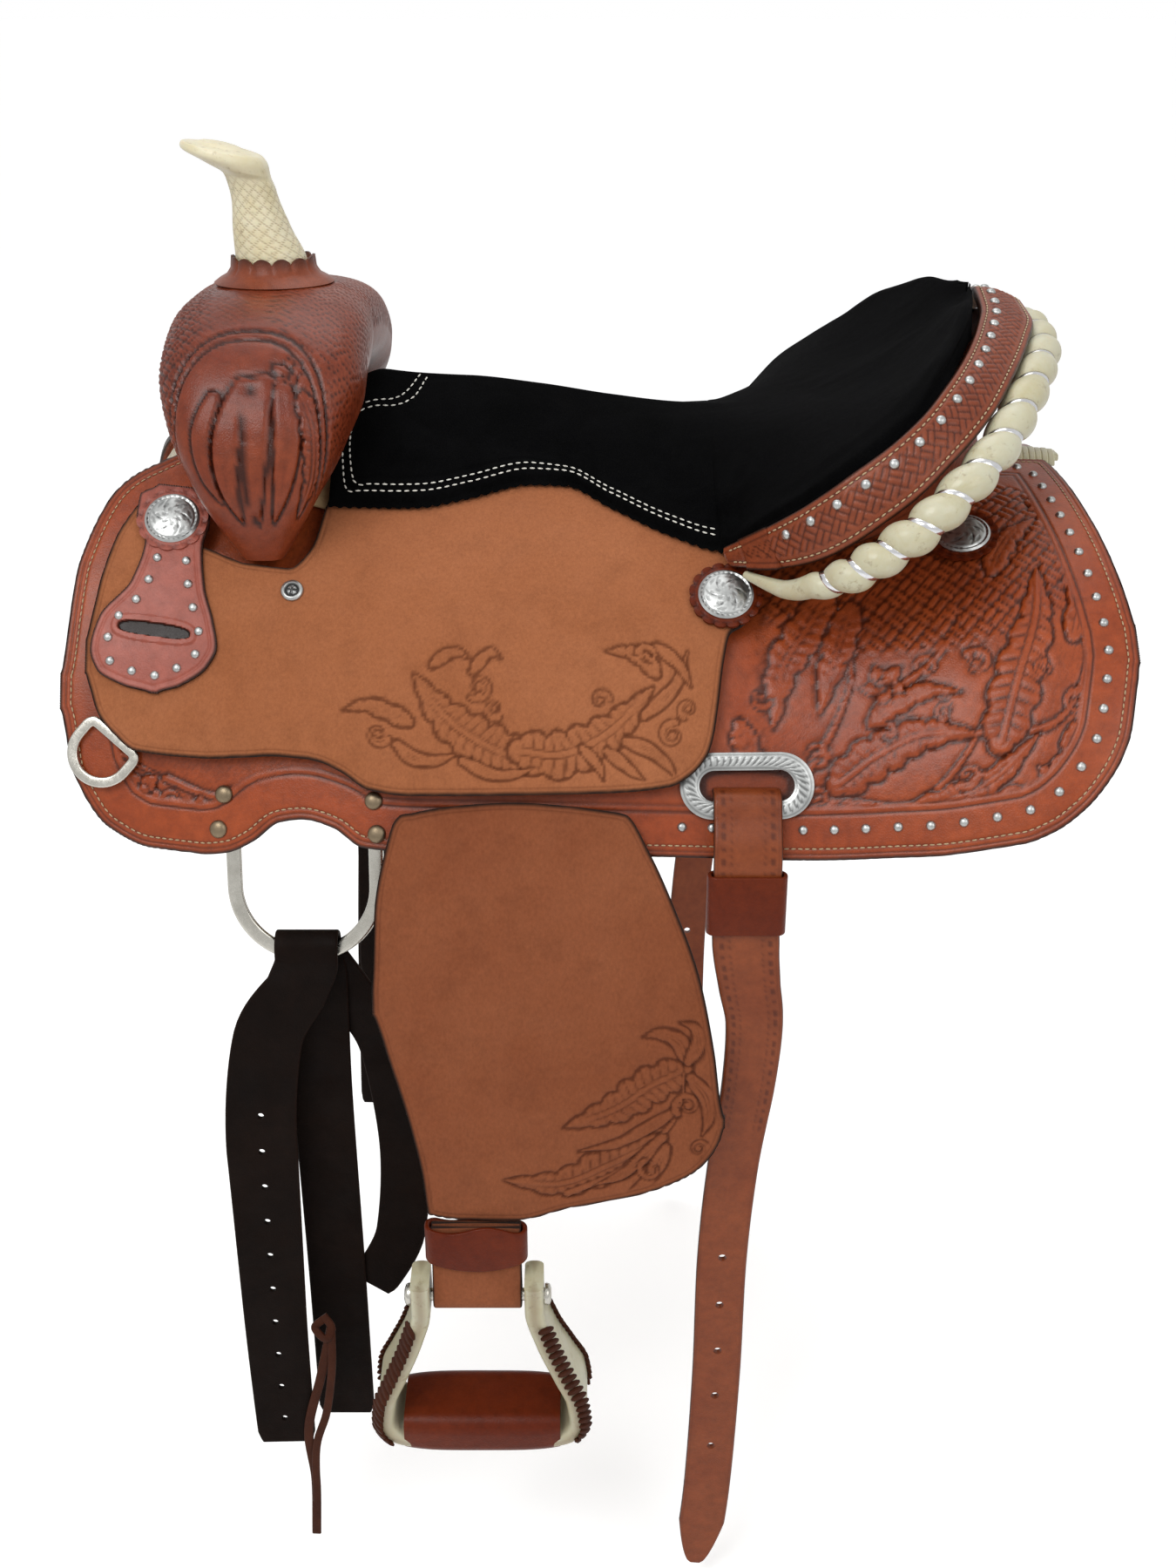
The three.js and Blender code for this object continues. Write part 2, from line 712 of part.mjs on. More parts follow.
const JOCKEY_TOP = edge([
  [-327, 206], [-322, 181], [-312, 140], [-294, 112], [-284, 112], [-275, 128], [-270, 138], [-250, 141],
  [-220, 148],
  [-197, 148], [-181, 129], [-175, 112], [-173, 92], [-110, 88], [-79, 80], [-38, 68], [-15, 69], [15, 88],
  [55, 111], [89, 123], [100, 130], [113.5, 150],
]);
const JOCKEY_BOTTOM = edge([
  [-327, 228], [-320, 250], [-305, 268], [-291, 276], [-261, 277], [-190, 270], [-173, 271], [-159, 276],
  [-147, 283], [-135, 288], [-117, 289.5], [-13, 288.5], [48, 285], [65, 277], [76, 265], [81, 250],
  [86, 215], [91, 188], [96, 184],
  [108, 171], [113.5, 156],
]);

function seatJockey() {
  const stations = [-327, -324, -318, -308, -294, -284, -272, -250, -222, -197, -182, -173, -158, -140, -115];
  stations.push(-79, -38, -10, 20, 52, 66, 76, 80, 83.5, 87, 92, 100, 108, 113.5);
  const settle = (h) => (x) => h - 6 * fade(88, 112, x);
  return sheet(JOCKEY_TOP, JOCKEY_BOTTOM, stations, 4, [settle(JOCKEY[0]), settle(JOCKEY[1])]);
}

// ---------------------------------------------------------------- fender and stirrup
const FENDER_TOP = edge([
  [-140.6, 412], [-138.5, 370], [-131, 328], [-123, 304], [-119, FENDER_EDGE + 10], [-48, FENDER_EDGE + 2.5],
  [24, FENDER_EDGE + 10], [47, 342], [70, 398], [82, 450], [86, 483], [91, 505],
]);
const FENDER_BOTTOM = edge([
  [-140.6, 432], [-134, 453], [-119, 509], [-112, 545], [-108.5, 578], [-100, 582], [-37, 583], [-21, 576],
  [38, 562], [73, 545],
  [87, 525], [91, 512],
]);

function fender() {
  const stations = [-140.6, -137, -131, -124, -119, -112, -108, -84, -48];
  stations.push(-14, 10, 24, 40, 56, 72, 83, 88, 91);
  return sheet(FENDER_TOP, FENDER_BOTTOM, stations, 6, FENDER);
}

// The hidden top of the stirrup leather, between skirt and jockey, that carries the fender.
function stirrupLeather() {
  const round = edge([[-108, 276], [-96, 266], [-70, 262], [-24, 262], [0, 266], [12, 276]]);
  const stations = [-108, -102, -96, -84, -70, -48, -24, -8, 0, 6, 12];
  return sheet(round, () => FENDER_EDGE - 3.5, stations, 2, [7.6, 10.4]);
}

// Looped end of the stirrup leather round the bolt: a teardrop outline run across the strap's width.
function stirrupNeck() {
  const half = NECK.thick / 2;
  const bolt = STIRRUP.bolt;
  const outline = new THREE.Shape();
  outline.moveTo(-half, NECK.top);
  outline.lineTo(-half, bolt + 30);
  outline.lineTo(-9.4, bolt);
  outline.absarc(0, bolt, 9.4, Math.PI, 2 * Math.PI);
  outline.lineTo(half, bolt + 30);
  outline.lineTo(half, NECK.top);
  outline.closePath();
  const eye = new THREE.Path();
  eye.moveTo(-0.6, bolt + 24);
  eye.lineTo(-5.2, bolt);
  eye.absarc(0, bolt, 5.2, Math.PI, 2 * Math.PI);
  eye.lineTo(0.6, bolt + 24);
  eye.closePath();
  outline.holes.push(eye);
  const run = { depth: NECK.width, bevelEnabled: false, curveSegments: 8 };
  const neck = new THREE.ExtrudeGeometry(outline, run);
  neck.translate(0, 0, -NECK.width / 2);
  const upright = new THREE.Matrix4().makeBasis(point(0, 1, 0), point(0, 0, 1), point(1, 0, 0));
  return neck.applyMatrix4(upright).translate(STIRRUP.x, STIRRUP.y, 0);
}

function boxRing(inner, outer, length) {
  const frame = (Kind, [w, d]) => {
    const box = new Kind();
    box.moveTo(-w / 2, -d / 2);
    box.lineTo(w / 2, -d / 2);
    box.lineTo(w / 2, d / 2);
    box.lineTo(-w / 2, d / 2);
    box.closePath();
    return box;
  };
  const shape = frame(THREE.Shape, outer);
  shape.holes.push(frame(THREE.Path, inner));
  return new THREE.ExtrudeGeometry(shape, { depth: length, bevelEnabled: false });
}

function hobbleStrap() {
  const inner = [NECK.width + 1.4, NECK.thick + 1.2];
  const outer = [HOBBLE.width, inner[1] + 2 * HOBBLE.thick];
  return boxRing(inner, outer, HOBBLE.height).translate(STIRRUP.x, STIRRUP.y, HOBBLE.top - HOBBLE.height);
}

// Rows along the near half of the stirrup's bow, from the bolt down: x, z and depth.
const BOW = [
  [0, 39, 18, 28],
  [1, 39, -6, 30],
  [2, 46, -36, 34],
  [3, 58, -68, 42],
  [4, 67, -92, 48],
  [5, 69, -112, 50],
  [6, 61, -127, 50],
  [7, 44, -131, 50],
  [8, 0, -131, 50],
];

function stirrupFrame() {
  const half = smoothRows(BOW);
  const thick = 4.5;
  const count = 30;
  const at = (t) => {
    const [x, z, depth] = half(t <= 8 ? t : 16 - t);
    return { place: point(t <= 8 ? -x : x, 0, z), depth };
  };
  const layer = (side) =>
    Array.from({ length: count + 1 }, (_, i) => {
      const t = (16 * i) / count;
      const { place, depth } = at(t);
      const along = at(Math.min(16, t + 0.05)).place.sub(at(Math.max(0, t - 0.05)).place).normalize();
      const out = point(along.z, 0, -along.x).multiplyScalar(side * thick);
      return [-0.5, 0.5].map((k) => place.clone().add(out).add(point(0, k * depth, 0)));
    });
  const bow = slab(layer(1), layer(-1));
  const hole = new THREE.CylinderGeometry(4.9, 4.9, 120, 14).rotateZ(Math.PI / 2);
  return cut(bow, hole);
}

function stirrupTread() {
  const shape = new THREE.Shape();
  const half = STIRRUP.depth / 2;
  shape.moveTo(-half, -125.8);
  shape.lineTo(half, -125.8);
  shape.lineTo(half, -STIRRUP.tread - 5);
  shape.lineTo(half - 7, -STIRRUP.tread);
  shape.lineTo(7 - half, -STIRRUP.tread);
  shape.lineTo(-half, -STIRRUP.tread - 5);
  shape.closePath();
  const tread = new THREE.ExtrudeGeometry(shape, { depth: 94, bevelEnabled: false });
  tread.translate(0, 0, -47);
  return tread.applyMatrix4(new THREE.Matrix4().makeBasis(point(0, 1, 0), point(0, 0, 1), point(1, 0, 0)));
}

function stirrupBolt() {
  const half = [[0, -50], [7.5, -50], [7.5, -46.5], [4.5, -46.5]];
  const profile = [...half, ...half.map(([r, y]) => [r, -y]).reverse()];
  const bolt = new THREE.LatheGeometry(profile.map(([r, y]) => new THREE.Vector2(r, y)), 14);
  return bolt.rotateZ(Math.PI / 2);
}

function addStirrup(side, name) {
  const stirrup = new THREE.Group();
  stirrup.position.set(STIRRUP.x, side * STIRRUP.y, STIRRUP.bolt);
  stirrup.rotation.x = side * radians(STIRRUP.tilt);
  add(`stirrup_frame_${name}`, stirrupFrame(), MATERIAL.rawhide, stirrup);
  add(`stirrup_tread_${name}`, stirrupTread(), MATERIAL.tooled, stirrup);
  add(`stirrup_bolt_${name}`, stirrupBolt(), MATERIAL.nickel, stirrup);
  saddle.add(stirrup);
}

// ---------------------------------------------------------------- rigging
function deeShape(width, drop, bar) {
  const ring = (Kind, inset) => {
    const r = width / 2 - inset;
    const path = new Kind();
    path.moveTo(-r, bar / 2 - inset);
    path.lineTo(-r, -(drop - width / 2));
    path.absarc(0, -(drop - width / 2), r, Math.PI, 2 * Math.PI);
    path.lineTo(r, bar / 2 - inset);
    path.closePath();
    return path;
  };
  const shape = ring(THREE.Shape, 0);
  shape.holes.push(ring(THREE.Path, bar));
  return shape;
}

function dee({ width, drop, bar, thick }) {
  const shape = deeShape(width, drop, bar);
  const solid = new THREE.ExtrudeGeometry(shape, { depth: thick, bevelEnabled: false, curveSegments: 12 });
  return solid.translate(0, 0, -thick / 2);
}

// The dee hangs from its straight bar, close to upright.
function riggingFrame() {
  const angle = radians(RIGGING_DEE.hang);
  const down = point(0, -Math.cos(angle), -Math.sin(angle));
  const out = point(0, -Math.sin(angle), Math.cos(angle));
  const origin = onBase(RIGGING_DEE.x, RIGGING_DEE.s, RIGGING_DEE.h);
  return new THREE.Matrix4().makeBasis(point(1, 0, 0), down.negate(), out).setPosition(origin);
}

const riggingDee = () => dee(RIGGING_DEE).applyMatrix4(riggingFrame());

function breastDee() {
  const { x, s, h, turn } = BREAST_DEE;
  return dee(BREAST_DEE).applyMatrix4(frameOn(x, s, h, turn));
}

// Straps that fold over the dee's lower bar. Rows of x, height below the bar and outward offset.
function hangingStrap(rows, width) {
  const bar = point(0, -(RIGGING_DEE.drop - RIGGING_DEE.bar / 2), 0).applyMatrix4(riggingFrame());
  const curve = smoothRows(rows.map((row, i) => [i, ...row]));
  const centres = [];
  const facings = [];
  const steps = 2 * (rows.length - 1);
  for (let i = 0; i <= steps; i += 1) {
    const [x, drop, out] = curve(i / 2);
    centres.push(point(bar.x + x, bar.y - out, bar.z - drop));
  }
  for (let i = 0; i <= steps; i += 1) {
    const along = centres[Math.min(i + 1, steps)].clone().sub(centres[Math.max(0, i - 1)]);
    facings.push(point(0, along.z, -along.y).normalize());
  }
  return strap(centres, facings, centres.map(() => width), LATIGO.thick);
}

// The fold over the bar, from the outside strand to the inside one.
function fold(x) {
  const reach = LATIGO.slack + LATIGO.thick / 2;
  return [[x, 0, reach], [x, -10, reach * 0.85], [x, -16, 0], [x, -10, -reach * 0.85], [x, 0, -reach]];
}

function latigo() {
  const front = [[-38, 402, 26], [-40, 280, 20], [-40, 150, 14], [-30, 60, 10], [-8, 22, 8]];
  const rear = [[3, 22, -8], [1, 120, -9], [2, 300, -10], [2, 408, -10]];
  const main = hangingStrap([...front, ...fold(0), ...rear], LATIGO.width);
  const back = [[6, 6, -9], [22, 34, -11], [46, 80, -13], [56, 170, -14], [50, 240, -14], [26, 288, -14]];
  const loop = hangingStrap(back, 36);
  return join(main, loop);
}

function offBillet() {
  const front = [[-18, 420, 14], [-12, 250, 12], [-3, 90, 9], [0, 24, 8]];
  const rear = [[0, 24, -8], [-3, 120, -8], [-8, 260, -8]];
  return mirrored(hangingStrap([...front, ...fold(0), ...rear], LATIGO.width));
}

// ---------------------------------------------------------------- rear rigging
function slotPlate() {
  const outline = ovalPath(THREE.Shape, SLOT.width, SLOT.height);
  outline.holes.push(ovalPath(THREE.Path, ...SLOT.opening));
  const run = { depth: SLOT.thick, bevelEnabled: false, curveSegments: 8 };
  const plate = new THREE.ExtrudeGeometry(outline, run);
  return plate.applyMatrix4(frameOn(SLOT.x, SLOT.s, SKIRT[1] + 2.7, 0, 40));
}

function rearBillet() {
  const tongue = [[286, 0.8], [287, 6], [292, 13.8], [304, 14.8]].map(([s, h]) => onBase(SLOT.x, s, h));
  const hanging = [[102, -228], [102, -300], [105, -314], [115, -334], [107, -400]];
  hanging.push([98, -470], [95, -545], [94, -650], [90, -760], [83, -836]);
  const centres = [...tongue, ...hanging.map(([x, z]) => point(x, BILLET.y, z))];
  const facings = centres.map((p, i) => {
    if (i > 3) return point(0, -1, 0);
    const along = centres[i + 1].clone().sub(centres[Math.max(0, i - 1)]);
    return point(0, along.z, -along.y).normalize();
  });
  const widths = centres.map((p) => lookUp([-360, -330, -308, 0], [...BILLET.width].reverse(), p.z));
  widths[widths.length - 1] = 16;
  return strap(centres, facings, widths, BILLET.thick);
}

function billetKeeper() {
  const ring = boxRing(KEEPER.inner, KEEPER.outer, KEEPER.length);
  return ring.translate(SLOT.x, BILLET.y, KEEPER.top - KEEPER.length);
}

// ---------------------------------------------------------------- conchos and small pieces
function concho(x, s, h, radius) {
  const profile = [[0, 0], [radius, 0], [radius, 1], [radius * 0.8, 2.4], [radius * 0.4, 3.4], [0, 3.7]];
  const button = new THREE.LatheGeometry(profile.map(([r, z]) => new THREE.Vector2(r, z)), 16);
  return button.rotateX(Math.PI / 2).applyMatrix4(frameOn(x, s, h));
}

function rosette(x, s, h, radius) {
  const disc = new THREE.CylinderGeometry(radius, radius, 2.6, 20);
  return disc.rotateX(Math.PI / 2).translate(0, 0, 1.3).applyMatrix4(frameOn(x, s, h));
}

function ferrule(x, s, h) {
  const profile = [[0, 0], [7.4, 0], [7.4, 1.2], [5.4, 2.2], [3.4, 1.4], [0, 1.4]];
  const button = new THREE.LatheGeometry(profile.map(([r, z]) => new THREE.Vector2(r, z)), 14);
  return button.rotateX(Math.PI / 2).applyMatrix4(frameOn(x, s, h));
}

// Teardrop flap with a scalloped round head that stores the end of the latigo.
function latigoKeeper() {
  const left = edge([
    [0, 12], [8, 23], [22, 24], [36, 17], [60, 24], [82, 44], [100, 49], [112, 44], [120, 26], [123, 10],
  ]);
  const right = edge([
    [0, 12], [8, 23], [22, 24], [36, 21], [60, 24], [80, 31], [94, 34], [106, 28], [118, 10], [123, -4],
  ]);
  const rows = [0, 3, 8, 15, 22, 30, 36, 48, 60, 74, 86, 98, 108, 116, 120, 123];
  const layer = (h) =>
    rows.map((r) =>
      [0, 0.25, 0.5, 0.75, 1].map((w) => onBase(-274 + mix(-left(r), right(r), w), 100 + r * 1.13, h)),
    );
  return slab(layer(20.4), layer(17.4));
}

// ---------------------------------------------------------------- build
addPair('tree_bar', treeBar(), MATERIAL.wood);
add('tree_fork', cut(loft(archRings(SWELL_WALL + GAP, 14)), hornSocket(GAP)), MATERIAL.wood);
add('tree_cantle', treeCantle(), MATERIAL.wood);
add('horn_core', hornCore(), MATERIAL.nickel);
add('horn_wrap', hornWrap(), MATERIAL.rawhide);
add('horn_collar', hornCollar(), MATERIAL.tooled);
const swellShell = shell(archRings(0, 14), archRings(SWELL_WALL, 14), false);
add('swell_cover', cut(swellShell, hornSocket(GAP)), MATERIAL.tooled);
add('ground_seat', groundSeat(), MATERIAL.roughout);
add('seat_cover', seatCover(), MATERIAL.suede);
addPair('seat_jockey', seatJockey(), MATERIAL.roughout);
add('cantle_binding', cantleBinding(), MATERIAL.tooled);
add('cantle_roll', cantleRoll(), MATERIAL.rawhide);
add('cantle_back', cantleBack(), MATERIAL.tooled);
addPair('skirt', skirt(), MATERIAL.tooled);
addPair('fleece', fleece(), MATERIAL.fleece);
add('skirt_lacing', skirtLacing(), MATERIAL.rawhide);
addPair('rear_slot_plate', slotPlate(), MATERIAL.nickel);
addPair('latigo_keeper', latigoKeeper(), MATERIAL.tooled);
addPair('front_concho', concho(-274, 125, 21, 18), MATERIAL.nickel);
addPair('jockey_rosette', rosette(89.6, 163, 17.6, 24), MATERIAL.dark);
addPair('jockey_concho', concho(89.6, 163, 20.6, 18), MATERIAL.nickel);
addPair('rear_rosette', rosette(247, 119, 6.2, 24), MATERIAL.dark);
addPair('rear_concho', concho(247, 119, 9.2, 18), MATERIAL.nickel);
addPair('seat_screw', ferrule(-193, 164, 17.5), MATERIAL.nickel);
addPair('stirrup_leather', stirrupLeather(), MATERIAL.roughout);
addPair('fender', fender(), MATERIAL.roughout);
addPair('hobble_strap', hobbleStrap(), MATERIAL.tooled);
addPair('stirrup_neck', stirrupNeck(), MATERIAL.roughout);
addStirrup(1, 'left');
addStirrup(-1, 'right');
addPair('rigging_dee', riggingDee(), MATERIAL.nickel);
addPair('breast_dee', breastDee(), MATERIAL.nickel);
add('latigo', latigo(), MATERIAL.latigo);
add('off_billet', offBillet(), MATERIAL.latigo);
addPair('rear_billet', rearBillet(), MATERIAL.tooled);
addPair('billet_keeper', billetKeeper(), MATERIAL.tooled);

export default saddle;
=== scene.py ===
"""Western saddle: carved leather, suede seat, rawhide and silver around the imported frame.

Shapes are worked out in millimetres and written to Blender in metres. The near side is -Y, and the cantle
is at +X. Sheets of leather lie on the saddle's base surface: x runs back along the horse, s down its side
from the spine, and h out of the surface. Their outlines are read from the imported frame.
"""

import math

import bpy
import numpy as np
from mathutils.bvhtree import BVHTree
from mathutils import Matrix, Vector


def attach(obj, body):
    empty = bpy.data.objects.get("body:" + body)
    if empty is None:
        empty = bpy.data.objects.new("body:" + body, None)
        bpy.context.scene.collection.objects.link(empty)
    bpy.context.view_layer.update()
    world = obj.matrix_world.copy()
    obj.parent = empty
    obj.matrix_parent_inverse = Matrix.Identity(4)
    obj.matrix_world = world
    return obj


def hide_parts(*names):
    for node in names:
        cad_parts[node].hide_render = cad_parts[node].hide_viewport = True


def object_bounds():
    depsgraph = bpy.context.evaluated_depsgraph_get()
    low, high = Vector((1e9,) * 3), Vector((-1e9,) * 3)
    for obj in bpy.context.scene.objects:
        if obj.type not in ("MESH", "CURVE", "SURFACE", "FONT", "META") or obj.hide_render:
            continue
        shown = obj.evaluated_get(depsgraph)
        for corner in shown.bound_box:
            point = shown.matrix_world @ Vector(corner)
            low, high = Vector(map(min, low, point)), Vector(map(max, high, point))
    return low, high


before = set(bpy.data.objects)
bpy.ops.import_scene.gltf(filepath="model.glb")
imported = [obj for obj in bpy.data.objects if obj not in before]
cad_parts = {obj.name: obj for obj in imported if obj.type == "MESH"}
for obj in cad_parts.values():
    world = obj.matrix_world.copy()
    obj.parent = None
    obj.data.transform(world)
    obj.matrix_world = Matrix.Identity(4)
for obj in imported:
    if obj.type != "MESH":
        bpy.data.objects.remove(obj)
CAD_BOX = [list(corner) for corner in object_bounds()]
random = np.random.default_rng(7)

# ---------------------------------------------------------------- driving dimensions, in millimetres
SPINE = (28, -6, -28)  # height of the horse's back line at the front, middle and rear
ZONES = ((-330, -110), (110, 330))  # where the front and rear shapes fade in
GIRTH = (0, 50, 100, 160, 230, 330, 420, 700)  # arc length down the side
SLOPES = (
    (32, 38, 44, 52, 62, 74, 82, 88),
    (20, 34, 34, 42, 56, 70, 82, 89),
    (4, 9, 17, 30, 47, 66, 78, 88),
)  # steepness in degrees at each arc length: front, middle and rear
STITCH_INSET = 7.5
STUD_INSET = 19.5
STUD_PITCH = 19.5
STUD_RADIUS = 3.2
CONCHO_RADIUS = 18
STRAP_WIDTH, STRAP_THICK = 42, 3.5
DEE_BAR = (0, -104.0, 0)  # the middle of the rigging dee's lower bar, in the dee's axes
STIRRUP_BOLT = (-76, -276, -545)  # the middle of the near stirrup's bolt
FRONT_CONCHO = (-274, 125)
JOCKEY_CONCHO = (89.6, 163)
REAR_CONCHO = (247, 119)
SEAT_SCREW = (-193, 164)
RIVETS = ((-237, 298), (-241, 321), (-138, 293), (-136, 314))
SLOT = {"x": 102, "s": 283, "width": 86, "height": 43, "opening": (61, 20)}


# ---------------------------------------------------------------- small maths
def fade(start, end, value):
    t = np.clip((value - start) / (end - start), 0, 1)
    return t * t * (3 - 2 * t)


def line_at(value, middle, width):
    """A narrow line: 1 where the value is at the middle, fading to 0 beside it."""
    return np.exp(-(((value - middle) / width) ** 2))


def rounded(edge, radius):
    """How far a rounded corner has dropped at a distance from the edge."""
    return radius * (1 - np.sqrt(1 - np.clip(1 - edge / radius, 0, 1) ** 2))


def between(table, i, j):
    """The values of a grid at fractional places."""
    a, b = i.astype(int), j.astype(int)
    u, v = i - a, j - b
    if table.ndim == 3:
        u, v = u[..., None], v[..., None]
    low = table[a, b] * (1 - v) + table[a, b + 1] * v
    high = table[a + 1, b] * (1 - v) + table[a + 1, b + 1] * v
    return low * (1 - u) + high * u


def unit(vectors):
    vectors = np.asarray(vectors, float)
    return vectors / np.maximum(np.linalg.norm(vectors, axis=-1, keepdims=True), 1e-9)


def smooth_rows(keys, rows):
    """A curve without overshoot through rows of values, as a function of the key."""
    keys, rows = np.asarray(keys, float), np.asarray(rows, float)
    rows = rows.reshape(len(keys), -1)
    secants = np.diff(rows, axis=0) / np.diff(keys)[:, None]
    before, after = secants[:-1], secants[1:]
    product = before * after
    inner = np.where(product > 0, 2 * product / np.where(product > 0, before + after, 1), 0)
    slopes = np.vstack([np.zeros_like(rows[:1]), inner, np.zeros_like(rows[:1])])

    def curve(at):
        at = np.clip(np.asarray(at, float), keys[0], keys[-1])
        i = np.clip(np.searchsorted(keys, at, side="right"), 1, len(keys) - 1)
        span = (keys[i] - keys[i - 1])[..., None]
        t = (at[..., None] - keys[i - 1][..., None]) / span
        rise = t * t * (3 - 2 * t)
        bend = slopes[i - 1] * t * (1 - t) ** 2 - slopes[i] * t * t * (1 - t)
        return rows[i - 1] + (rows[i] - rows[i - 1]) * rise + bend * span

    return curve


def spline(points, count):
    """A smooth open curve through the points, resampled evenly to count points."""
    points = np.asarray(points, float)
    padded = np.vstack([2 * points[0] - points[1], points, 2 * points[-1] - points[-2]])
    parts = []
    for i in range(len(points) - 1):
        p0, p1, p2, p3 = padded[i : i + 4]
        t = np.linspace(0, 1, 24, endpoint=False)[:, None]
        square, cube = 2 * p0 - 5 * p1 + 4 * p2 - p3, 3 * p1 - p0 - 3 * p2 + p3
        parts.append(0.5 * (2 * p1 + (p2 - p0) * t + square * t**2 + cube * t**3))
    return resample(np.vstack([*parts, points[-1:]]), count)


def arc_lengths(points):
    return np.concatenate([[0], np.cumsum(np.linalg.norm(np.diff(points, axis=0), axis=1))])


def resample(points, count):
    lengths = arc_lengths(points)
    at = np.linspace(0, lengths[-1], count)
    return np.stack([np.interp(at, lengths, points[:, k]) for k in range(points.shape[1])], axis=1)


def every(points, pitch):
    """Points spaced at about the given pitch along a path."""
    return resample(points, max(2, int(round(arc_lengths(points)[-1] / pitch)) + 1))


# ---------------------------------------------------------------- the base surface
def zone_weights(x):
    front = 1 - fade(*ZONES[0], x)
    rear = fade(*ZONES[1], x)
    return np.stack([front, 1 - front - rear, rear])


class Base:
    X = np.arange(-362, 362.1, 2.0)
    S = np.arange(0, 721.0, 2.0)

    def __init__(self):
        weights = zone_weights(self.X)
        slopes = np.radians(np.array([np.interp(self.S, GIRTH, row) for row in SLOPES]))
        self.angle = np.einsum("zx,zs->xs", weights, slopes)
        middle = (self.angle[:, 1:] + self.angle[:, :-1]) / 2
        zero = np.zeros((len(self.X), 1))
        self.y = np.hstack([zero, -np.cumsum(np.cos(middle) * 2, axis=1)])
        drop = np.hstack([zero, np.cumsum(np.sin(middle) * 2, axis=1)])
        self.z = (weights.T @ np.array(SPINE))[:, None] - drop

    def sample(self, table, x, s):
        i = np.clip((x - self.X[0]) / 2, 0, len(self.X) - 1.001)
        return between(table, i, np.clip(s / 2, 0, len(self.S) - 1.001))

    def at(self, x, s, h=0.0):
        x, s, h = np.broadcast_arrays(np.asarray(x, float), np.asarray(s, float), np.asarray(h, float))
        angle = self.sample(self.angle, x, s)
        y = self.sample(self.y, x, s) - h * np.sin(angle)
        return np.stack([x, y, self.sample(self.z, x, s) + h * np.cos(angle)], axis=-1)

    def frames(self, x, s, turn=0.0, reach=6.0):
        """Axes at points on the surface: along x, up the side, and out; turned about the outward axis."""
        along = unit(self.at(x + reach, s) - self.at(x - reach, s))
        down = unit(self.at(x, s + reach) - self.at(x, s - reach))
        out = unit(np.cross(down, along))
        up = np.cross(out, along)
        c, n = np.cos(turn)[..., None], np.sin(turn)[..., None]
        return np.stack([c * along + n * up, c * up - n * along, out], axis=-2)

    def place(self, points):
        """The (s, h) of points in space, by the nearest point of their station's section."""
        s = np.arange(0, 640.0, 0.5)
        section = self.at(points[:, :1], s[None, :])
        gap = np.linalg.norm(section - points[:, None, :], axis=2)
        best = np.argmin(gap, axis=1)
        rows = np.arange(len(points))
        out = self.at(points[:, 0], s[best], 1.0) - section[rows, best]
        h = np.einsum("ij,ij->i", points - section[rows, best], out)
        return s[best], h


base = Base()


# ---------------------------------------------------------------- shapes
class Shape:
    """Points in millimetres, faces, and per-point marks for the materials."""

    def __init__(self, points, faces, marks=None):
        self.points = np.asarray(points, float).reshape(-1, 3)
        self.faces = [np.asarray(f, int).reshape(-1, np.asarray(f).shape[-1]) for f in faces]
        self.marks = marks or {}

    def mirrored(self):
        faces = [f[:, ::-1] for f in self.faces]
        return Shape(self.points * (1, -1, 1), faces, self.marks)

    def moved(self, axes, origin):
        """The same shape, drawn in these axes from this origin."""
        return Shape(self.points @ axes + origin, self.faces, self.marks)

    def outward(self):
        """The same shape with its faces turned to face out."""
        volume = 0
        for f in self.faces:
            for k in range(1, f.shape[1] - 1):
                a, b, c = (self.points[f[:, i]] for i in (0, k, k + 1))
                volume += np.einsum("ij,ij->", a, np.cross(b, c))
        if volume < 0:
            self.faces = [f[:, ::-1] for f in self.faces]
        return self


def joined(shapes):
    points, groups, offset = [], {}, 0
    names = {name for shape in shapes for name in shape.marks}
    marks = {name: [] for name in names}
    for shape in shapes:
        points.append(shape.points)
        for f in shape.faces:
            groups.setdefault(f.shape[1], []).append(f + offset)
        for name in names:
            marks[name].append(shape.marks.get(name, np.zeros(len(shape.points))))
        offset += len(shape.points)
    faces = [np.vstack(group) for group in groups.values()]
    return Shape(np.vstack(points), faces, {name: np.concatenate(v) for name, v in marks.items()})


def grid_faces(rows, columns, wrap_rows=False, wrap_columns=False):
    index = np.arange(rows * columns).reshape(rows, columns)
    if wrap_rows:
        index = np.vstack([index, index[:1]])
    if wrap_columns:
        index = np.hstack([index, index[:, :1]])
    return np.stack([index[:-1, :-1], index[1:, :-1], index[1:, 1:], index[:-1, 1:]], axis=-1).reshape(-1, 4)


def slab(top, bottom, marks=None):
    """A closed sheet between two grids of points."""
    rows, columns = top.shape[:2]
    count = rows * columns
    index = np.arange(count).reshape(rows, columns)
    around = np.concatenate([index[0, :-1], index[:-1, -1], index[-1, :0:-1], index[:0:-1, 0]])
    after = np.roll(around, -1)
    sides = np.stack([around, after, after + count, around + count], axis=1)
    face = grid_faces(rows, columns)
    faces = [np.vstack([face, face[:, ::-1] + count, sides])]
    doubled = {name: np.concatenate([m.ravel(), m.ravel()]) for name, m in (marks or {}).items()}
    return Shape(np.concatenate([top.reshape(-1, 3), bottom.reshape(-1, 3)]), faces, doubled).outward()


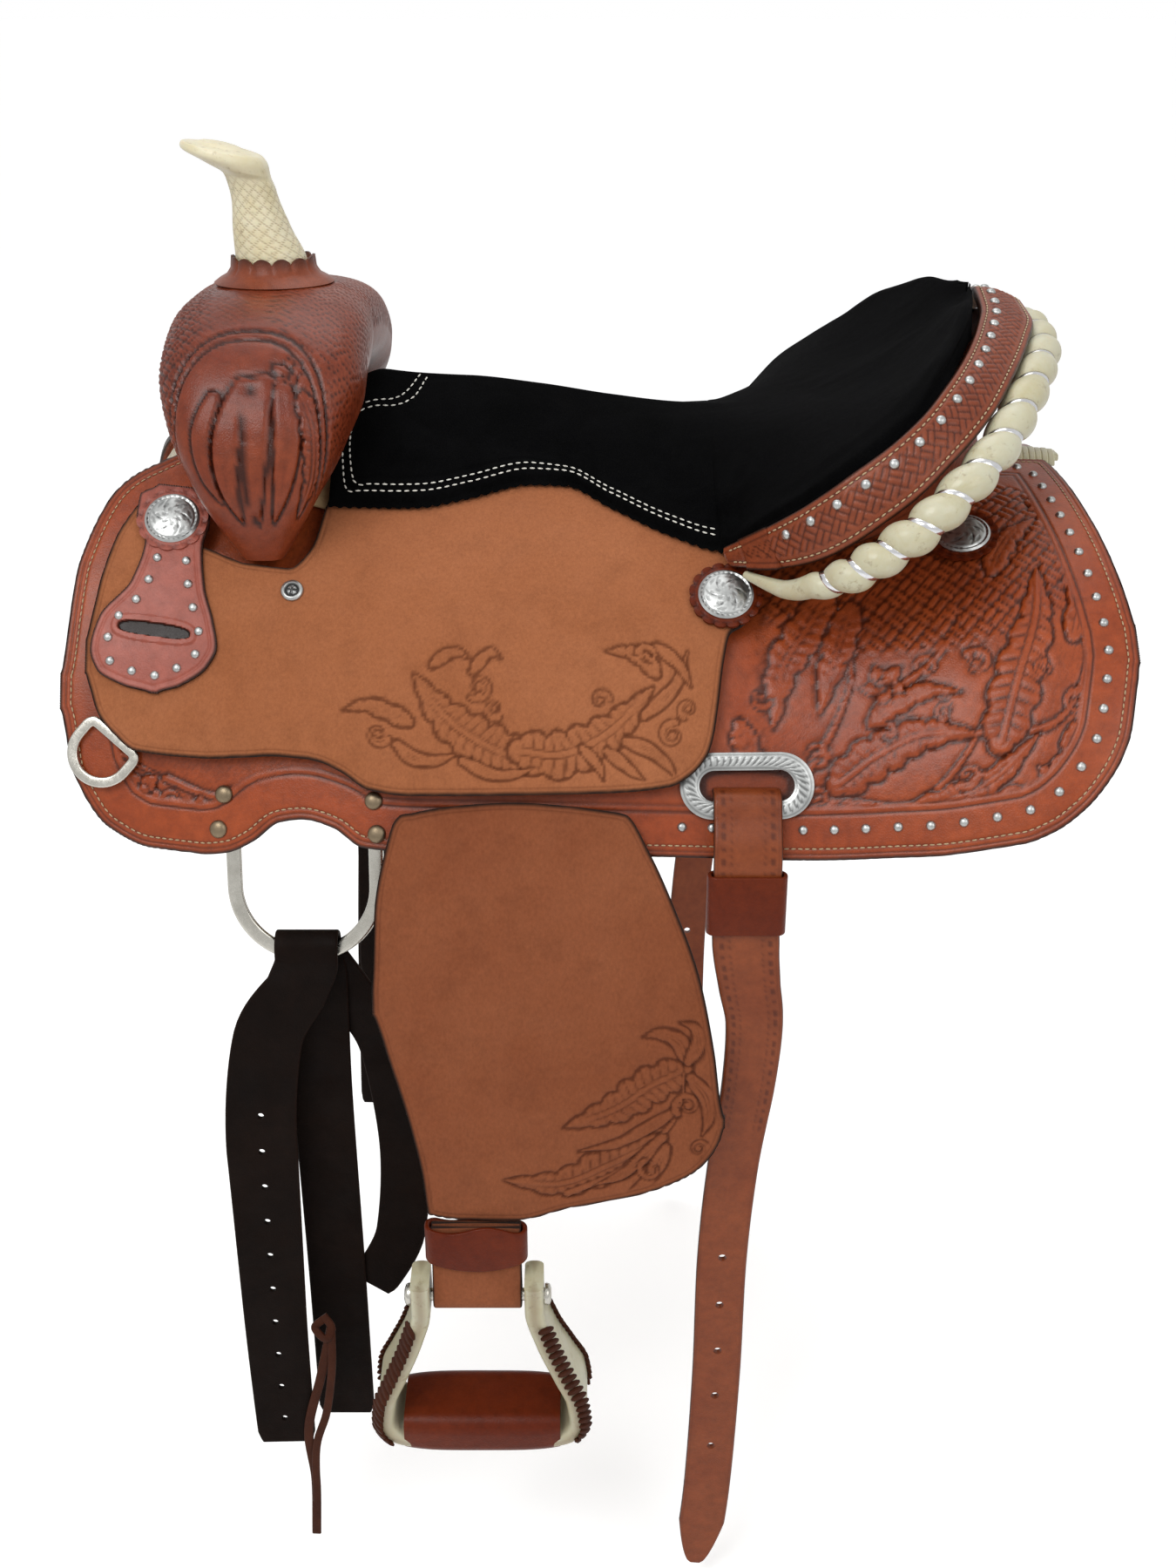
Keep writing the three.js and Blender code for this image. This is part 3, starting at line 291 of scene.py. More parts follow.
def loft(rings, marks=None, closed=False):
    """A skin over closed loops of points, with a fan over each end unless the loops close on themselves."""
    rings = np.asarray(rings, float)
    count, sides = rings.shape[:2]
    faces = [grid_faces(count, sides, closed, True)]
    points = rings.reshape(-1, 3)
    marks = {name: m.ravel() for name, m in (marks or {}).items()}
    if not closed:
        hubs = np.stack([rings[0].mean(0), rings[-1].mean(0)])
        start = np.arange(sides)
        end = start + (count - 1) * sides
        first = np.stack([np.full(sides, count * sides), start, np.roll(start, -1)], axis=1)
        last = np.stack([np.full(sides, count * sides + 1), np.roll(end, -1), end], axis=1)
        points = np.vstack([points, hubs])
        faces.append(np.vstack([first, last]))
        marks = {name: np.concatenate([m, m[:1], m[-1:]]) for name, m in marks.items()}
    return Shape(points, faces, marks).outward()


def lathe(profile, sides=40, axis_frame=None, centre=(0, 0, 0), ripple=None):
    """A profile of (radius, height) turned about the frame's third axis; ripple changes radius and height."""
    profile = np.asarray(profile, float)
    angle = np.linspace(0, 2 * math.pi, sides, endpoint=False)
    radius = np.repeat(profile[:, :1], sides, axis=1)
    height = np.repeat(profile[:, 1:2], sides, axis=1)
    if ripple:
        radius, height = ripple(radius, height, angle[None, :])
    local = np.stack([radius * np.cos(angle), radius * np.sin(angle), height], axis=-1)
    turned = local @ (np.eye(3) if axis_frame is None else axis_frame)
    return loft(turned + np.asarray(centre, float))


def scatter(template, places, frames):
    """Copies of a small shape at many places, each with its own axes."""
    spread = np.einsum("pk,nkc->npc", template.points, frames) + np.asarray(places)[:, None, :]
    step = len(template.points)
    faces = [np.concatenate([f + i * step for i in range(len(places))]) for f in template.faces]
    return Shape(spread.reshape(-1, 3), faces)


def section(width, thick, corner=None, steps=3):
    """The outline of a strap's cross-section: a rounded rectangle as (across, out) points."""
    corner = min(thick / 2, width / 2) * 0.9 if corner is None else corner
    points = []
    for k, (cx, cy) in enumerate(((1, 1), (-1, 1), (-1, -1), (1, -1))):
        centre = np.array([cx * (width / 2 - corner), cy * (thick / 2 - corner)])
        for angle in np.radians(np.linspace(90 * k, 90 * k + 90, steps + 1)):
            points.append(centre + corner * np.array([math.cos(angle), math.sin(angle)]))
    return np.array(points)


def sweep(path, facings, outlines, closed=False):
    """An outline of (across, out) points run along a path; facings point out of the broad face."""
    path, facings = np.asarray(path, float), np.asarray(facings, float)
    if closed:
        ahead, behind = np.roll(path, -1, 0), np.roll(path, 1, 0)
    else:
        ahead, behind = np.vstack([path[1:], path[-1:]]), np.vstack([path[:1], path[:-1]])
    along = unit(ahead - behind)
    across = unit(np.cross(along, facings))
    out = unit(np.cross(across, along))
    outlines = np.broadcast_to(outlines, (len(path), *np.shape(outlines)[-2:]))
    rings = path[:, None] + across[:, None] * outlines[..., :1] + out[:, None] * outlines[..., 1:]
    return loft(rings, closed=closed)


# ---------------------------------------------------------------- small hardware and stitching
def dome_template(radius, height, sides=12, rings=4):
    tilt = np.linspace(0, math.pi / 2, rings + 1)[:-1]
    profile = [(radius * 1.0, -0.6)] + [(radius * math.cos(a), height * math.sin(a)) for a in tilt]
    return lathe(profile, sides)


def stitch_template(length, width):
    turns = np.linspace(0.12, 0.88, 5) * math.pi
    angle = np.linspace(0, 2 * math.pi, 6, endpoint=False)
    rings = []
    for t in turns:
        wide, tall = width / 2 * math.sin(t), width * 0.42 * math.sin(t)
        rings.append([(-length / 2 * math.cos(t), wide * math.cos(a), tall * math.sin(a)) for a in angle])
    return loft(rings)


def stitch_row(path, outs, length=3.2, pitch=4.4, width=1.0, slant=0.0):
    """Stitches along a path in space; outs are the outward directions at its points."""
    both = every(np.hstack([path, outs]), pitch)
    places, out = both[:, :3], unit(both[:, 3:])
    along = unit(np.gradient(places, axis=0))
    across = unit(np.cross(out, along))
    turn = slant + random.normal(0, 0.05, len(places))[:, None]
    heading = along * np.cos(turn) + across * np.sin(turn)
    side = across * np.cos(turn) - along * np.sin(turn)
    return scatter(stitch_template(length, width), places, np.stack([heading, side, out], axis=1))


def surface_stitches(plan, h, **kind):
    """Stitches along a path of (x, s) points at height h on the base surface."""
    x, s = plan[:, 0], plan[:, 1]
    return stitch_row(base.at(x, s, h), base.frames(x, s, np.zeros(len(x)))[:, 2], **kind)


def surface_studs(plan, h, radius=STUD_RADIUS):
    """Silver spots at points of (x, s), at height h on the base surface."""
    x, s = plan[:, 0], plan[:, 1]
    template = dome_template(radius, radius * 0.8, 14)
    return scatter(template, base.at(x, s, h), base.frames(x, s, np.zeros(len(x))))


# ---------------------------------------------------------------- tooling in leather
def local_mean(field, reach):
    """The mean of a grid of heights over a square of 2 * reach + 1 cells."""
    for axis in (0, 1):
        edge = [(0, 0), (0, 0)]
        edge[axis] = (reach + 1, reach)
        total = np.cumsum(np.pad(field, edge, mode="edge"), axis=axis)
        span = 2 * reach + 1
        count = total.shape[axis]
        far, near = np.arange(span, count), np.arange(count - span)
        field = (np.take(total, far, axis) - np.take(total, near, axis)) / span
    return field


def hollows(relief, reach=3, depth=0.55):
    """How far each place lies in a groove or in low ground, 0 to 1."""
    return np.clip((local_mean(relief, reach) - relief) / depth + 0.3 * np.clip(-relief / 1.1, 0, 1), 0, 1)


class Carving:
    """Tooled relief over a plan of millimetres: heights, and how much of each place is stippled ground."""

    STEP = 0.7

    def __init__(self, x_range, s_range):
        self.x0, self.s0 = x_range[0], s_range[0]
        self.shape = tuple(int((b - a) / self.STEP) + 2 for a, b in (x_range, s_range))
        self.height = np.zeros(self.shape)
        self.covered = np.zeros(self.shape)

    def window(self, points, reach):
        low = np.floor((points.min(0) - reach - (self.x0, self.s0)) / self.STEP).astype(int)
        high = np.ceil((points.max(0) + reach - (self.x0, self.s0)) / self.STEP).astype(int)
        low, high = np.maximum(low, 0), np.minimum(high, self.shape)
        spot = (slice(low[0], high[0]), slice(low[1], high[1]))
        x = self.x0 + np.arange(low[0], high[0]) * self.STEP
        s = self.s0 + np.arange(low[1], high[1]) * self.STEP
        return spot, *np.meshgrid(x, s, indexing="ij")

    def along(self, spine, x, s):
        """The place along the spine, 0 to 1, and the signed distance beside it, for each plan point."""
        ahead = np.diff(spine, axis=0)
        length = np.maximum(np.linalg.norm(ahead, axis=1), 1e-6)
        best = np.full(x.shape, 1e9)
        place, side = np.zeros(x.shape), np.zeros(x.shape)
        total = length.sum()
        start = np.concatenate([[0], np.cumsum(length)])
        for i, (p, d, n) in enumerate(zip(spine[:-1], ahead, length)):
            dx, ds = x - p[0], s - p[1]
            t = np.clip((dx * d[0] + ds * d[1]) / n**2, 0, 1)
            gap = np.hypot(dx - t * d[0], ds - t * d[1])
            nearer = gap < best
            best = np.where(nearer, gap, best)
            place = np.where(nearer, (start[i] + t * n) / total, place)
            side = np.where(nearer, np.sign(d[0] * ds - d[1] * dx), side)
        return place, side * best

    def leaf(self, spine, width, lobes=0, veins=0, lift=0.8, taper=0.75, depth=0.9, start=0.12):
        """A raised leaf, petal or stem about a curved midrib, with a cut outline."""
        spine = spline(spine, 26)
        spot, x, s = self.window(spine, width * 1.5 + 6)
        if x.size == 0:
            return
        u, d = self.along(spine, x, s)
        body = np.sin(math.pi * np.clip(start + (1 - start) * u, 0, 1) ** taper) ** 0.75
        if lobes:
            body = body * (0.74 + 0.3 * np.abs(np.sin(lobes * math.pi * u)) ** 0.7)
        half = np.maximum(width * body, 0.4)
        w = np.abs(d) / half
        inside = w < 1
        raised = lift * (1 - w**4) * (0.55 + 0.45 * w)
        if veins:
            rib = 0.13 * width + 0.4
            phase = (u * veins + w * 0.55) % 1
            veined = line_at(phase, 0.5, 0.21) * fade(rib + 0.4, rib + 1.6, np.abs(d))
            raised = raised - 1.1 * lift * veined
            raised = raised - 1.1 * lift * line_at(np.abs(d), rib, 0.9)
        beyond = np.abs(d) - half
        cut_line = -depth * line_at(beyond, 0, 1.15)
        bevel = -0.45 * np.exp(-np.maximum(beyond, 0) / 3.0)
        view = self.height[spot]
        lowered = np.minimum(view + bevel * (beyond < 9), view)
        self.height[spot] = np.where(inside, raised, lowered) + cut_line
        self.covered[spot] = np.maximum(self.covered[spot], inside)

    def scroll(self, centre, radius, heading, hand):
        """A curled tendril with short cuts across it and an eye at its centre."""
        angle = np.linspace(0, 1.3 * 2 * math.pi, 22)
        r = radius * (1 - 0.8 * angle / angle[-1])
        turn = heading + hand * angle
        spine = np.stack([centre[0] + r * np.cos(turn), centre[1] + r * np.sin(turn)], 1)
        self.leaf(spine, radius * 0.27, veins=9, lift=0.7, taper=0.5, depth=0.7, start=0.3)
        self.dimple(centre, radius * 0.22)

    def dimple(self, centre, radius):
        spot, x, s = self.window(np.array([centre]), radius * 3)
        r = np.hypot(x - centre[0], s - centre[1]) / radius
        self.height[spot] += 0.7 * np.exp(-(r**2)) - 0.6 * line_at(r, 1.4, 0.35)

    def weave(self, inside, cell=7.0, turn=0.6, height=0.5):
        """Basket stamping where the mask is set: blocks of paired bars that change direction."""
        spot, x, s = self.window(np.array([[self.x0, self.s0], [1e4, 1e4]]), 0)
        self.height[spot] += basket(x, s, cell, turn, height) * inside(x, s) * (1 - self.covered)
        self.covered = np.maximum(self.covered, inside(x, s) > 0.5)

    def stipple(self, inside):
        """Matted ground: fine dents wherever nothing is carved."""
        depth, pitch = 0.4, 4.4
        spot, x, s = self.window(np.array([[self.x0, self.s0], [1e4, 1e4]]), 0)
        across = np.sin(x * 2 * math.pi / pitch + 1.3 * np.sin(s * 0.9))
        dents = across * np.sin(s * 2 * math.pi / pitch + 1.1 * np.sin(x * 0.8))
        self.height[spot] += (0.35 * dents - 1) * depth * inside(x, s) * (1 - self.covered)

    def sample(self, x, s):
        i = np.clip((x - self.x0) / self.STEP, 0, self.shape[0] - 1.001)
        j = np.clip((s - self.s0) / self.STEP, 0, self.shape[1] - 1.001)
        return between(self.height, i, j)


def basket(x, s, cell, turn, height):
    p = (x * math.cos(turn) + s * math.sin(turn)) / cell
    q = (s * math.cos(turn) - x * math.sin(turn)) / cell
    flip = (np.floor(p) + np.floor(q)) % 2 > 0.5
    across = np.where(flip, p, q) % 1
    lengthways = np.where(flip, q, p) % 1
    bars = np.abs(np.sin(2 * math.pi * across)) ** 1.1
    ends = np.clip(np.sin(math.pi * lengthways) * 2.2, 0, 1)
    return height * (1.7 * bars * ends - 1)


# ---------------------------------------------------------------- sheets of leather on the base surface
class Plan:
    """A closed outline on the base surface."""

    def __init__(self, outline):
        keep = np.linalg.norm(np.diff(outline, axis=0, append=outline[:1]), axis=1) > 0.05
        outline = outline[keep]
        self.outline = every(np.vstack([outline, outline[:1]]), 1.6)[:-1]

    def inset(self, distance):
        """The outline moved inwards, without the loops that tight corners would leave."""
        ahead = np.roll(self.outline, -3, 0) - np.roll(self.outline, 3, 0)
        inward = unit(np.stack([-ahead[:, 1], ahead[:, 0]], 1))
        x, s = self.outline.T
        if np.sum(x * np.roll(s, -1) - np.roll(x, -1) * s) < 0:
            inward = -inward
        moved = self.outline + inward * distance
        return moved[self.margin(moved) > distance - 0.35]

    def margin(self, plan):
        """Distance from plan points to the outline."""
        flat = plan.reshape(-1, 2)
        best = np.full(len(flat), 1e9)
        for i in range(0, len(flat), 4000):
            apart = flat[i : i + 4000, None] - self.outline[None]
            best[i : i + 4000] = np.sqrt((apart[..., 0] ** 2 + apart[..., 1] ** 2).min(1))
        return best.reshape(plan.shape[:-1])


class Sheet(Plan):
    """A CAD sheet's outline on the base surface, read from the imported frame."""

    def __init__(self, node, least=8):
        points = np.array([v.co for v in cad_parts[node].data.vertices]) * 1000
        points[:, 1] = -np.abs(points[:, 1])
        points = points[np.unique(np.round(points, 2), axis=0, return_index=True)[1]]
        stations = np.round(points[:, 0], 1)
        s, h = base.place(points)
        rows = [
            (x, s[stations == x].min(), s[stations == x].max())
            for x in np.unique(stations)
            if (stations == x).sum() >= least
        ]
        rows = np.array(rows)
        self.heights = (np.percentile(h, 8), np.percentile(h, 92))
        self.ends = rows[0, 0], rows[-1, 0]
        self.edges = smooth_rows(rows[:, 0], rows[:, 1:])
        super().__init__(self.trace())

    def trace(self):
        t = np.linspace(0, math.pi, 420)
        x = self.ends[0] + (self.ends[1] - self.ends[0]) * (0.5 - 0.5 * np.cos(t))
        upper, lower = self.edges(x).T
        return np.vstack([np.stack([x, upper], 1), np.stack([x, lower], 1)[::-1]])

    def shape(self, spacing, relief=None, heights=None, rounding=2.0, crowding=0.1):
        """The sheet as a fine slab; relief gives its outer height from x, s and the distance to the edge."""
        low, high = heights or self.heights
        count = int((self.ends[1] - self.ends[0]) / spacing)
        t = np.linspace(0, 1, count)
        x = self.ends[0] + (self.ends[1] - self.ends[0]) * (t - crowding * np.sin(2 * math.pi * t))
        upper, lower = self.edges(x).T
        rows = int(np.max(lower - upper) / spacing)
        w = np.linspace(0, 1, rows)
        w = w - 0.06 * np.sin(2 * math.pi * w)
        s = upper[:, None] + (lower - upper)[:, None] * w
        x = np.repeat(x[:, None], rows, axis=1)
        edge = self.margin(np.stack([x, s], -1))
        raised = relief(x, s, edge) if relief else np.zeros_like(x)
        drop = rounded(edge, rounding)
        top = np.maximum(high + raised - drop, low + 0.4)
        found = {"recess": hollows(raised), "edge": 1 - fade(0.4, 3.4, edge)}
        return slab(base.at(x, s, top), base.at(x, s, low), found)


# ---------------------------------------------------------------- materials
GRAIN = 0.00012  # depth of the pores in smooth leather, in metres


class Paint:
    """One node material, built up step by step around a Principled surface."""

    def __init__(self, name):
        self.material = bpy.data.materials.new(name)
        self.material.use_nodes = True
        self.tree = self.material.node_tree
        self.surface = self.tree.nodes["Principled BSDF"]
        self.place = self.add("ShaderNodeTexCoord").outputs["Object"]
        self.heights = []

    def add(self, kind, inputs=None, **settings):
        node = self.tree.nodes.new(kind)
        for key, value in settings.items():
            setattr(node, key, value)
        for key, value in (inputs or {}).items():
            self.feed(node.inputs[key], value)
        return node

    def feed(self, socket, value):
        if isinstance(value, bpy.types.NodeSocket):
            self.tree.links.new(value, socket)
        elif socket.type == "RGBA" and len(value) == 3:
            socket.default_value = (*value, 1)
        else:
            socket.default_value = value

    def noise(self, scale, detail=4.0, roughness=0.6, stretch=None, distortion=0.0):
        place = self.place
        if stretch:
            place = self.add("ShaderNodeMapping", {"Vector": place, "Scale": stretch}).outputs[0]
        inputs = {"Vector": place, "Scale": scale, "Detail": detail, "Roughness": roughness}
        inputs["Distortion"] = distortion
        return self.add("ShaderNodeTexNoise", inputs).outputs["Fac"]

    def cells(self, scale):
        return self.add("ShaderNodeTexVoronoi", {"Vector": self.place, "Scale": scale}).outputs["Distance"]

    def mark(self, name):
        return self.add("ShaderNodeAttribute", attribute_name=name).outputs["Fac"]

    def span(self, value, start, end, low=0.0, high=1.0):
        inputs = {"Value": value, "From Min": start, "From Max": end, "To Min": low, "To Max": high}
        return self.add("ShaderNodeMapRange", inputs).outputs["Result"]

    def mix(self, factor, a, b):
        node = self.add("ShaderNodeMix", data_type="RGBA")
        for socket, value in zip((node.inputs[0], node.inputs[6], node.inputs[7]), (factor, a, b)):
            self.feed(socket, value)
        return node.outputs[2]

    def math(self, operation, a, b):
        node = self.add("ShaderNodeMath", operation=operation)
        self.feed(node.inputs[0], a)
        self.feed(node.inputs[1], b)
        return node.outputs[0]

    def bump(self, height, distance):
        """Adds fine relief; distance is in metres."""
        self.heights.append((height, distance))

    def finish(self, **inputs):
        normal = None
        for height, distance in self.heights:
            settings = {"Height": height, "Distance": distance, "Strength": 1.0}
            if normal is not None:
                settings["Normal"] = normal
            normal = self.add("ShaderNodeBump", settings).outputs["Normal"]
        if normal is not None:
            self.feed(self.surface.inputs["Normal"], normal)
        for key, value in inputs.items():
            self.feed(self.surface.inputs[key.replace("_", " ")], value)
        return self.material


def leather(name, colour, deep, light, roughness=(0.32, 0.5), coat=0.12, specular=0.22):
    """Smooth finished leather: mottled dye lightened in clouds, dark recesses and a burnished edge."""
    paint = Paint(name)
    cloud = paint.span(paint.noise(14, 5, 0.62, distortion=0.6), 0.3, 0.7)
    tint = paint.mix(cloud, colour, light)
    fine = paint.span(paint.noise(130, 3, 0.7), 0.35, 0.75)
    tint = paint.mix(paint.math("MULTIPLY", fine, 0.35), tint, deep)
    tint = paint.mix(paint.math("MULTIPLY", paint.mark("recess"), 0.85), tint, deep)
    tint = paint.mix(paint.mark("edge"), tint, (0.012, 0.005, 0.003))
    paint.bump(paint.cells(900), GRAIN)
    paint.bump(paint.noise(260, 4, 0.7), GRAIN * 2)
    shine = paint.span(paint.noise(45, 4, 0.6), 0.3, 0.75, *roughness)
    return paint.finish(
        Base_Color=tint,
        Roughness=shine,
        Coat_Weight=coat,
        Coat_Roughness=0.28,
        Specular_IOR_Level=specular,
    )


def roughout(name, colour, deep, light):
    """Flesh-side leather: short nap, cloudy colour, burnished where it is pressed."""
    paint = Paint(name)
    cloud = paint.span(paint.noise(7, 6, 0.66, distortion=0.8), 0.3, 0.72)
    tint = paint.mix(cloud, colour, light)
    spots = paint.span(paint.noise(38, 5, 0.7), 0.48, 0.72)
    tint = paint.mix(paint.math("MULTIPLY", spots, 0.2), tint, deep)
    fibre = paint.span(paint.noise(520, 3, 0.75, stretch=(1, 1, 0.6)), 0.3, 0.75)
    tint = paint.mix(paint.math("MULTIPLY", fibre, 0.32), tint, deep)
    tint = paint.mix(paint.math("MULTIPLY", paint.mark("recess"), 0.75), tint, deep)
    tint = paint.mix(paint.mark("edge"), tint, (0.018, 0.009, 0.006))
    paint.bump(paint.noise(900, 3, 0.8), 0.00035)
    paint.bump(paint.noise(90, 4, 0.6), 0.0004)
    rough = paint.span(paint.noise(60, 3, 0.6), 0.3, 0.7, 0.78, 0.95)
    return paint.finish(
        Base_Color=tint,
        Roughness=rough,
        Sheen_Weight=0.05,
        Sheen_Roughness=0.5,
        Specular_IOR_Level=0.12,
    )


def suede(name):
    paint = Paint(name)
    nap = paint.span(paint.noise(26, 5, 0.7, distortion=0.7), 0.35, 0.7)
    tint = paint.mix(nap, (0.0008, 0.0008, 0.0009), (0.0026, 0.0026, 0.0028))
    fuzz = paint.noise(1300, 2, 0.7)
    tint = paint.mix(paint.math("MULTIPLY", paint.span(fuzz, 0.5, 0.75), 0.5), tint, (0.0048, 0.0048, 0.0050))
    paint.bump(fuzz, 0.0004)
    paint.bump(paint.noise(70, 4, 0.6), 0.0007)
    rough = paint.span(nap, 0, 1, 0.85, 0.98)
    return paint.finish(
        Base_Color=tint,
        Roughness=rough,
        Sheen_Weight=0.008,
        Sheen_Roughness=0.4,
        Sheen_Tint=(0.5, 0.5, 0.55),
        Specular_IOR_Level=0.025,
    )


def rawhide(name, colour, stain):
    """Dried hide: cream, slightly clear, stained brown in its folds."""
    paint = Paint(name)
    cloud = paint.span(paint.noise(32, 5, 0.65, distortion=0.5), 0.35, 0.75)
    tint = paint.mix(cloud, colour, tuple(c * f for c, f in zip(colour, (0.86, 0.8, 0.64))))
    freckle = paint.span(paint.noise(150, 5, 0.7), 0.58, 0.72)
    tint = paint.mix(paint.math("MULTIPLY", freckle, 0.5), tint, stain)
    tint = paint.mix(paint.mark("recess"), tint, stain)
    tint = paint.mix(paint.mark("edge"), tint, stain)
    paint.bump(paint.noise(220, 4, 0.6), 0.00035)
    shine = paint.span(paint.noise(60, 3, 0.6), 0.3, 0.7, 0.3, 0.5)
    return paint.finish(
        Base_Color=tint,
        Roughness=shine,
        Subsurface_Weight=0.12,
        Subsurface_Radius=(0.004, 0.002, 0.001),
        Coat_Weight=0.15,
    )


def metal(name, colour, tarnish, roughness=(0.16, 0.34)):
    """Plated metal with fine scratches and darker, duller recesses."""
    paint = Paint(name)
    cloud = paint.span(paint.noise(60, 5, 0.65), 0.4, 0.75)
    tint = paint.mix(paint.math("MULTIPLY", cloud, 0.35), colour, tarnish)
    tint = paint.mix(paint.mark("recess"), tint, tarnish)
    scratch = paint.noise(420, 3, 0.7, stretch=(1, 0.12, 1))
    paint.bump(scratch, 0.00006)
    shine = paint.span(scratch, 0.3, 0.7, *roughness)
    return paint.finish(Base_Color=tint, Metallic=1.0, Roughness=shine)


def wool(name):
    paint = Paint(name)
    curl = paint.noise(160, 5, 0.75, distortion=1.2)
    tint = paint.mix(paint.span(curl, 0.3, 0.7), (0.50, 0.40, 0.24), (0.86, 0.78, 0.60))
    paint.bump(curl, 0.004)
    paint.bump(paint.noise(520, 3, 0.8), 0.0015)
    return paint.finish(Base_Color=tint, Roughness=0.95, Sheen_Weight=0.4)


def wood(name):
    paint = Paint(name)
    rings = paint.noise(40, 5, 0.6, stretch=(0.12, 1, 1), distortion=0.6)
    tint = paint.mix(paint.span(rings, 0.35, 0.65), (0.42, 0.26, 0.12), (0.62, 0.43, 0.22))
    paint.bump(rings, 0.0006)
    return paint.finish(Base_Color=tint, Roughness=paint.span(rings, 0.3, 0.7, 0.55, 0.8))


def thread(name, colour):
    paint = Paint(name)
    twist = paint.noise(1500, 2, 0.6, stretch=(1, 0.4, 1))
    tint = paint.mix(paint.span(twist, 0.3, 0.7), colour, tuple(c * 0.6 for c in colour))
    paint.bump(twist, 0.0003)
    return paint.finish(Base_Color=tint, Roughness=paint.span(twist, 0.3, 0.7, 0.6, 0.85), Sheen_Weight=0.2)


# colours: main, in the recesses, and lightened; then roughness from shiny to dull
LOOK = {
    "skirt": leather(
        "skirt_leather", (0.250, 0.040, 0.0085), (0.026, 0.004, 0.0015), (0.340, 0.064, 0.015),
        (0.26, 0.42), coat=0.2,
    ),
    "band": leather(
        "band_leather", (0.185, 0.036, 0.012), (0.030, 0.005, 0.002), (0.240, 0.055, 0.020),
        (0.30, 0.48),
    ),
    "swell": leather(
        "swell_leather", (0.150, 0.0235, 0.0085), (0.012, 0.002, 0.001), (0.225, 0.044, 0.014),
        (0.26, 0.42), coat=0.18,
    ),
    "flap": leather(
        "keeper_flap_leather", (0.285, 0.066, 0.041), (0.06, 0.010, 0.006), (0.350, 0.098, 0.070),
        (0.34, 0.5),
    ),
    "strap": leather(
        "strap_leather", (0.180, 0.036, 0.009), (0.040, 0.006, 0.002), (0.235, 0.056, 0.016),
        (0.30, 0.45),
    ),
    "brown": leather(
        "brown_strap_leather", (0.092, 0.0105, 0.0018), (0.024, 0.003, 0.001), (0.130, 0.019, 0.004),
        (0.28, 0.42), coat=0.06, specular=0.12,
    ),
    "latigo": leather(
        "latigo_leather", (0.0042, 0.0019, 0.0012), (0.0015, 0.0009, 0.0006), (0.0085, 0.0036, 0.0020),
        (0.5, 0.7), coat=0.0, specular=0.07,
    ),
    "lace": leather(
        "lace_leather", (0.040, 0.0095, 0.0035), (0.012, 0.003, 0.001), (0.062, 0.017, 0.007),
        (0.4, 0.6), coat=0.0, specular=0.1,
    ),
    "raw": leather(
        "raw_leather", (0.40, 0.22, 0.10), (0.18, 0.09, 0.04), (0.50, 0.30, 0.15),
        (0.5, 0.7), coat=0.0,
    ),
    "jockey": roughout(
        "jockey_roughout", (0.320, 0.108, 0.042), (0.085, 0.022, 0.008), (0.375, 0.136, 0.058),
    ),
    "fender": roughout(
        "fender_roughout", (0.217, 0.062, 0.024), (0.062, 0.015, 0.006), (0.272, 0.088, 0.037),
    ),
    "suede": suede("seat_suede"),
    "rawhide": rawhide("rawhide", (0.52, 0.50, 0.37), (0.16, 0.085, 0.035)),
    "horn": rawhide("horn_rawhide", (0.68, 0.63, 0.46), (0.20, 0.12, 0.05)),
    "nickel": metal("nickel", (0.62, 0.60, 0.54), (0.22, 0.20, 0.16)),
    "silver": metal("engraved_silver", (0.52, 0.53, 0.52), (0.07, 0.07, 0.07), (0.30, 0.46)),
    "bright": metal("bright_lacing", (0.80, 0.80, 0.82), (0.3, 0.3, 0.3), (0.12, 0.3)),
    "bronze": metal("bronze", (0.26, 0.20, 0.13), (0.08, 0.06, 0.04), (0.35, 0.5)),
    "steel": metal("tree_steel", (0.35, 0.35, 0.34), (0.12, 0.11, 0.1), (0.4, 0.6)),
    "wool": wool("fleece_wool"),
    "wood": wood("tree_wood"),
    "white_thread": thread("white_thread", (0.80, 0.78, 0.70)),
    "cream_thread": thread("cream_thread", (0.50, 0.36, 0.20)),
}


# ---------------------------------------------------------------- putting pieces in the scene
def mesh_of(name, shape):
    mesh = bpy.data.meshes.new(name)
    faces = [face for group in shape.faces for face in group.tolist()]
    mesh.from_pydata((shape.points / 1000).tolist(), [], faces)
    return mesh


def write_marks(mesh, marks):
    for name, values in marks.items():
        mark = mesh.attributes.new(name, "FLOAT", "POINT")
        mark.data.foreach_set("value", values.astype(np.float32))


def place_piece(name, shape, look, body="saddle", stands_for=(), sharp=48):
    """Puts a piece in the scene, on the body it rides and in place of the CAD nodes it stands for."""
    mesh = mesh_of(name, shape)
    mesh.validate()
    mesh.shade_smooth()
    mesh.set_sharp_from_angle(angle=math.radians(sharp))
    write_marks(mesh, shape.marks)
    piece = bpy.data.objects.new(name, mesh)
    bpy.context.scene.collection.objects.link(piece)
    mesh.materials.append(LOOK[look])
    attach(piece, body)
    if stands_for:
        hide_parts(*stands_for)


def place_pair(name, shape, look, body="saddle", stands_for=(), **options):
    """The near piece and its mirror image; bodies other than the saddle, and nodes, take _left or _right."""
    for side, form in (("left", shape), ("right", shape.mirrored())):
        rides = body if body == "saddle" else f"{body}_{side}"
        nodes = [f"{node}_{side}" for node in stands_for]
        place_piece(f"{name}_{side}", form, look, rides, nodes, **options)


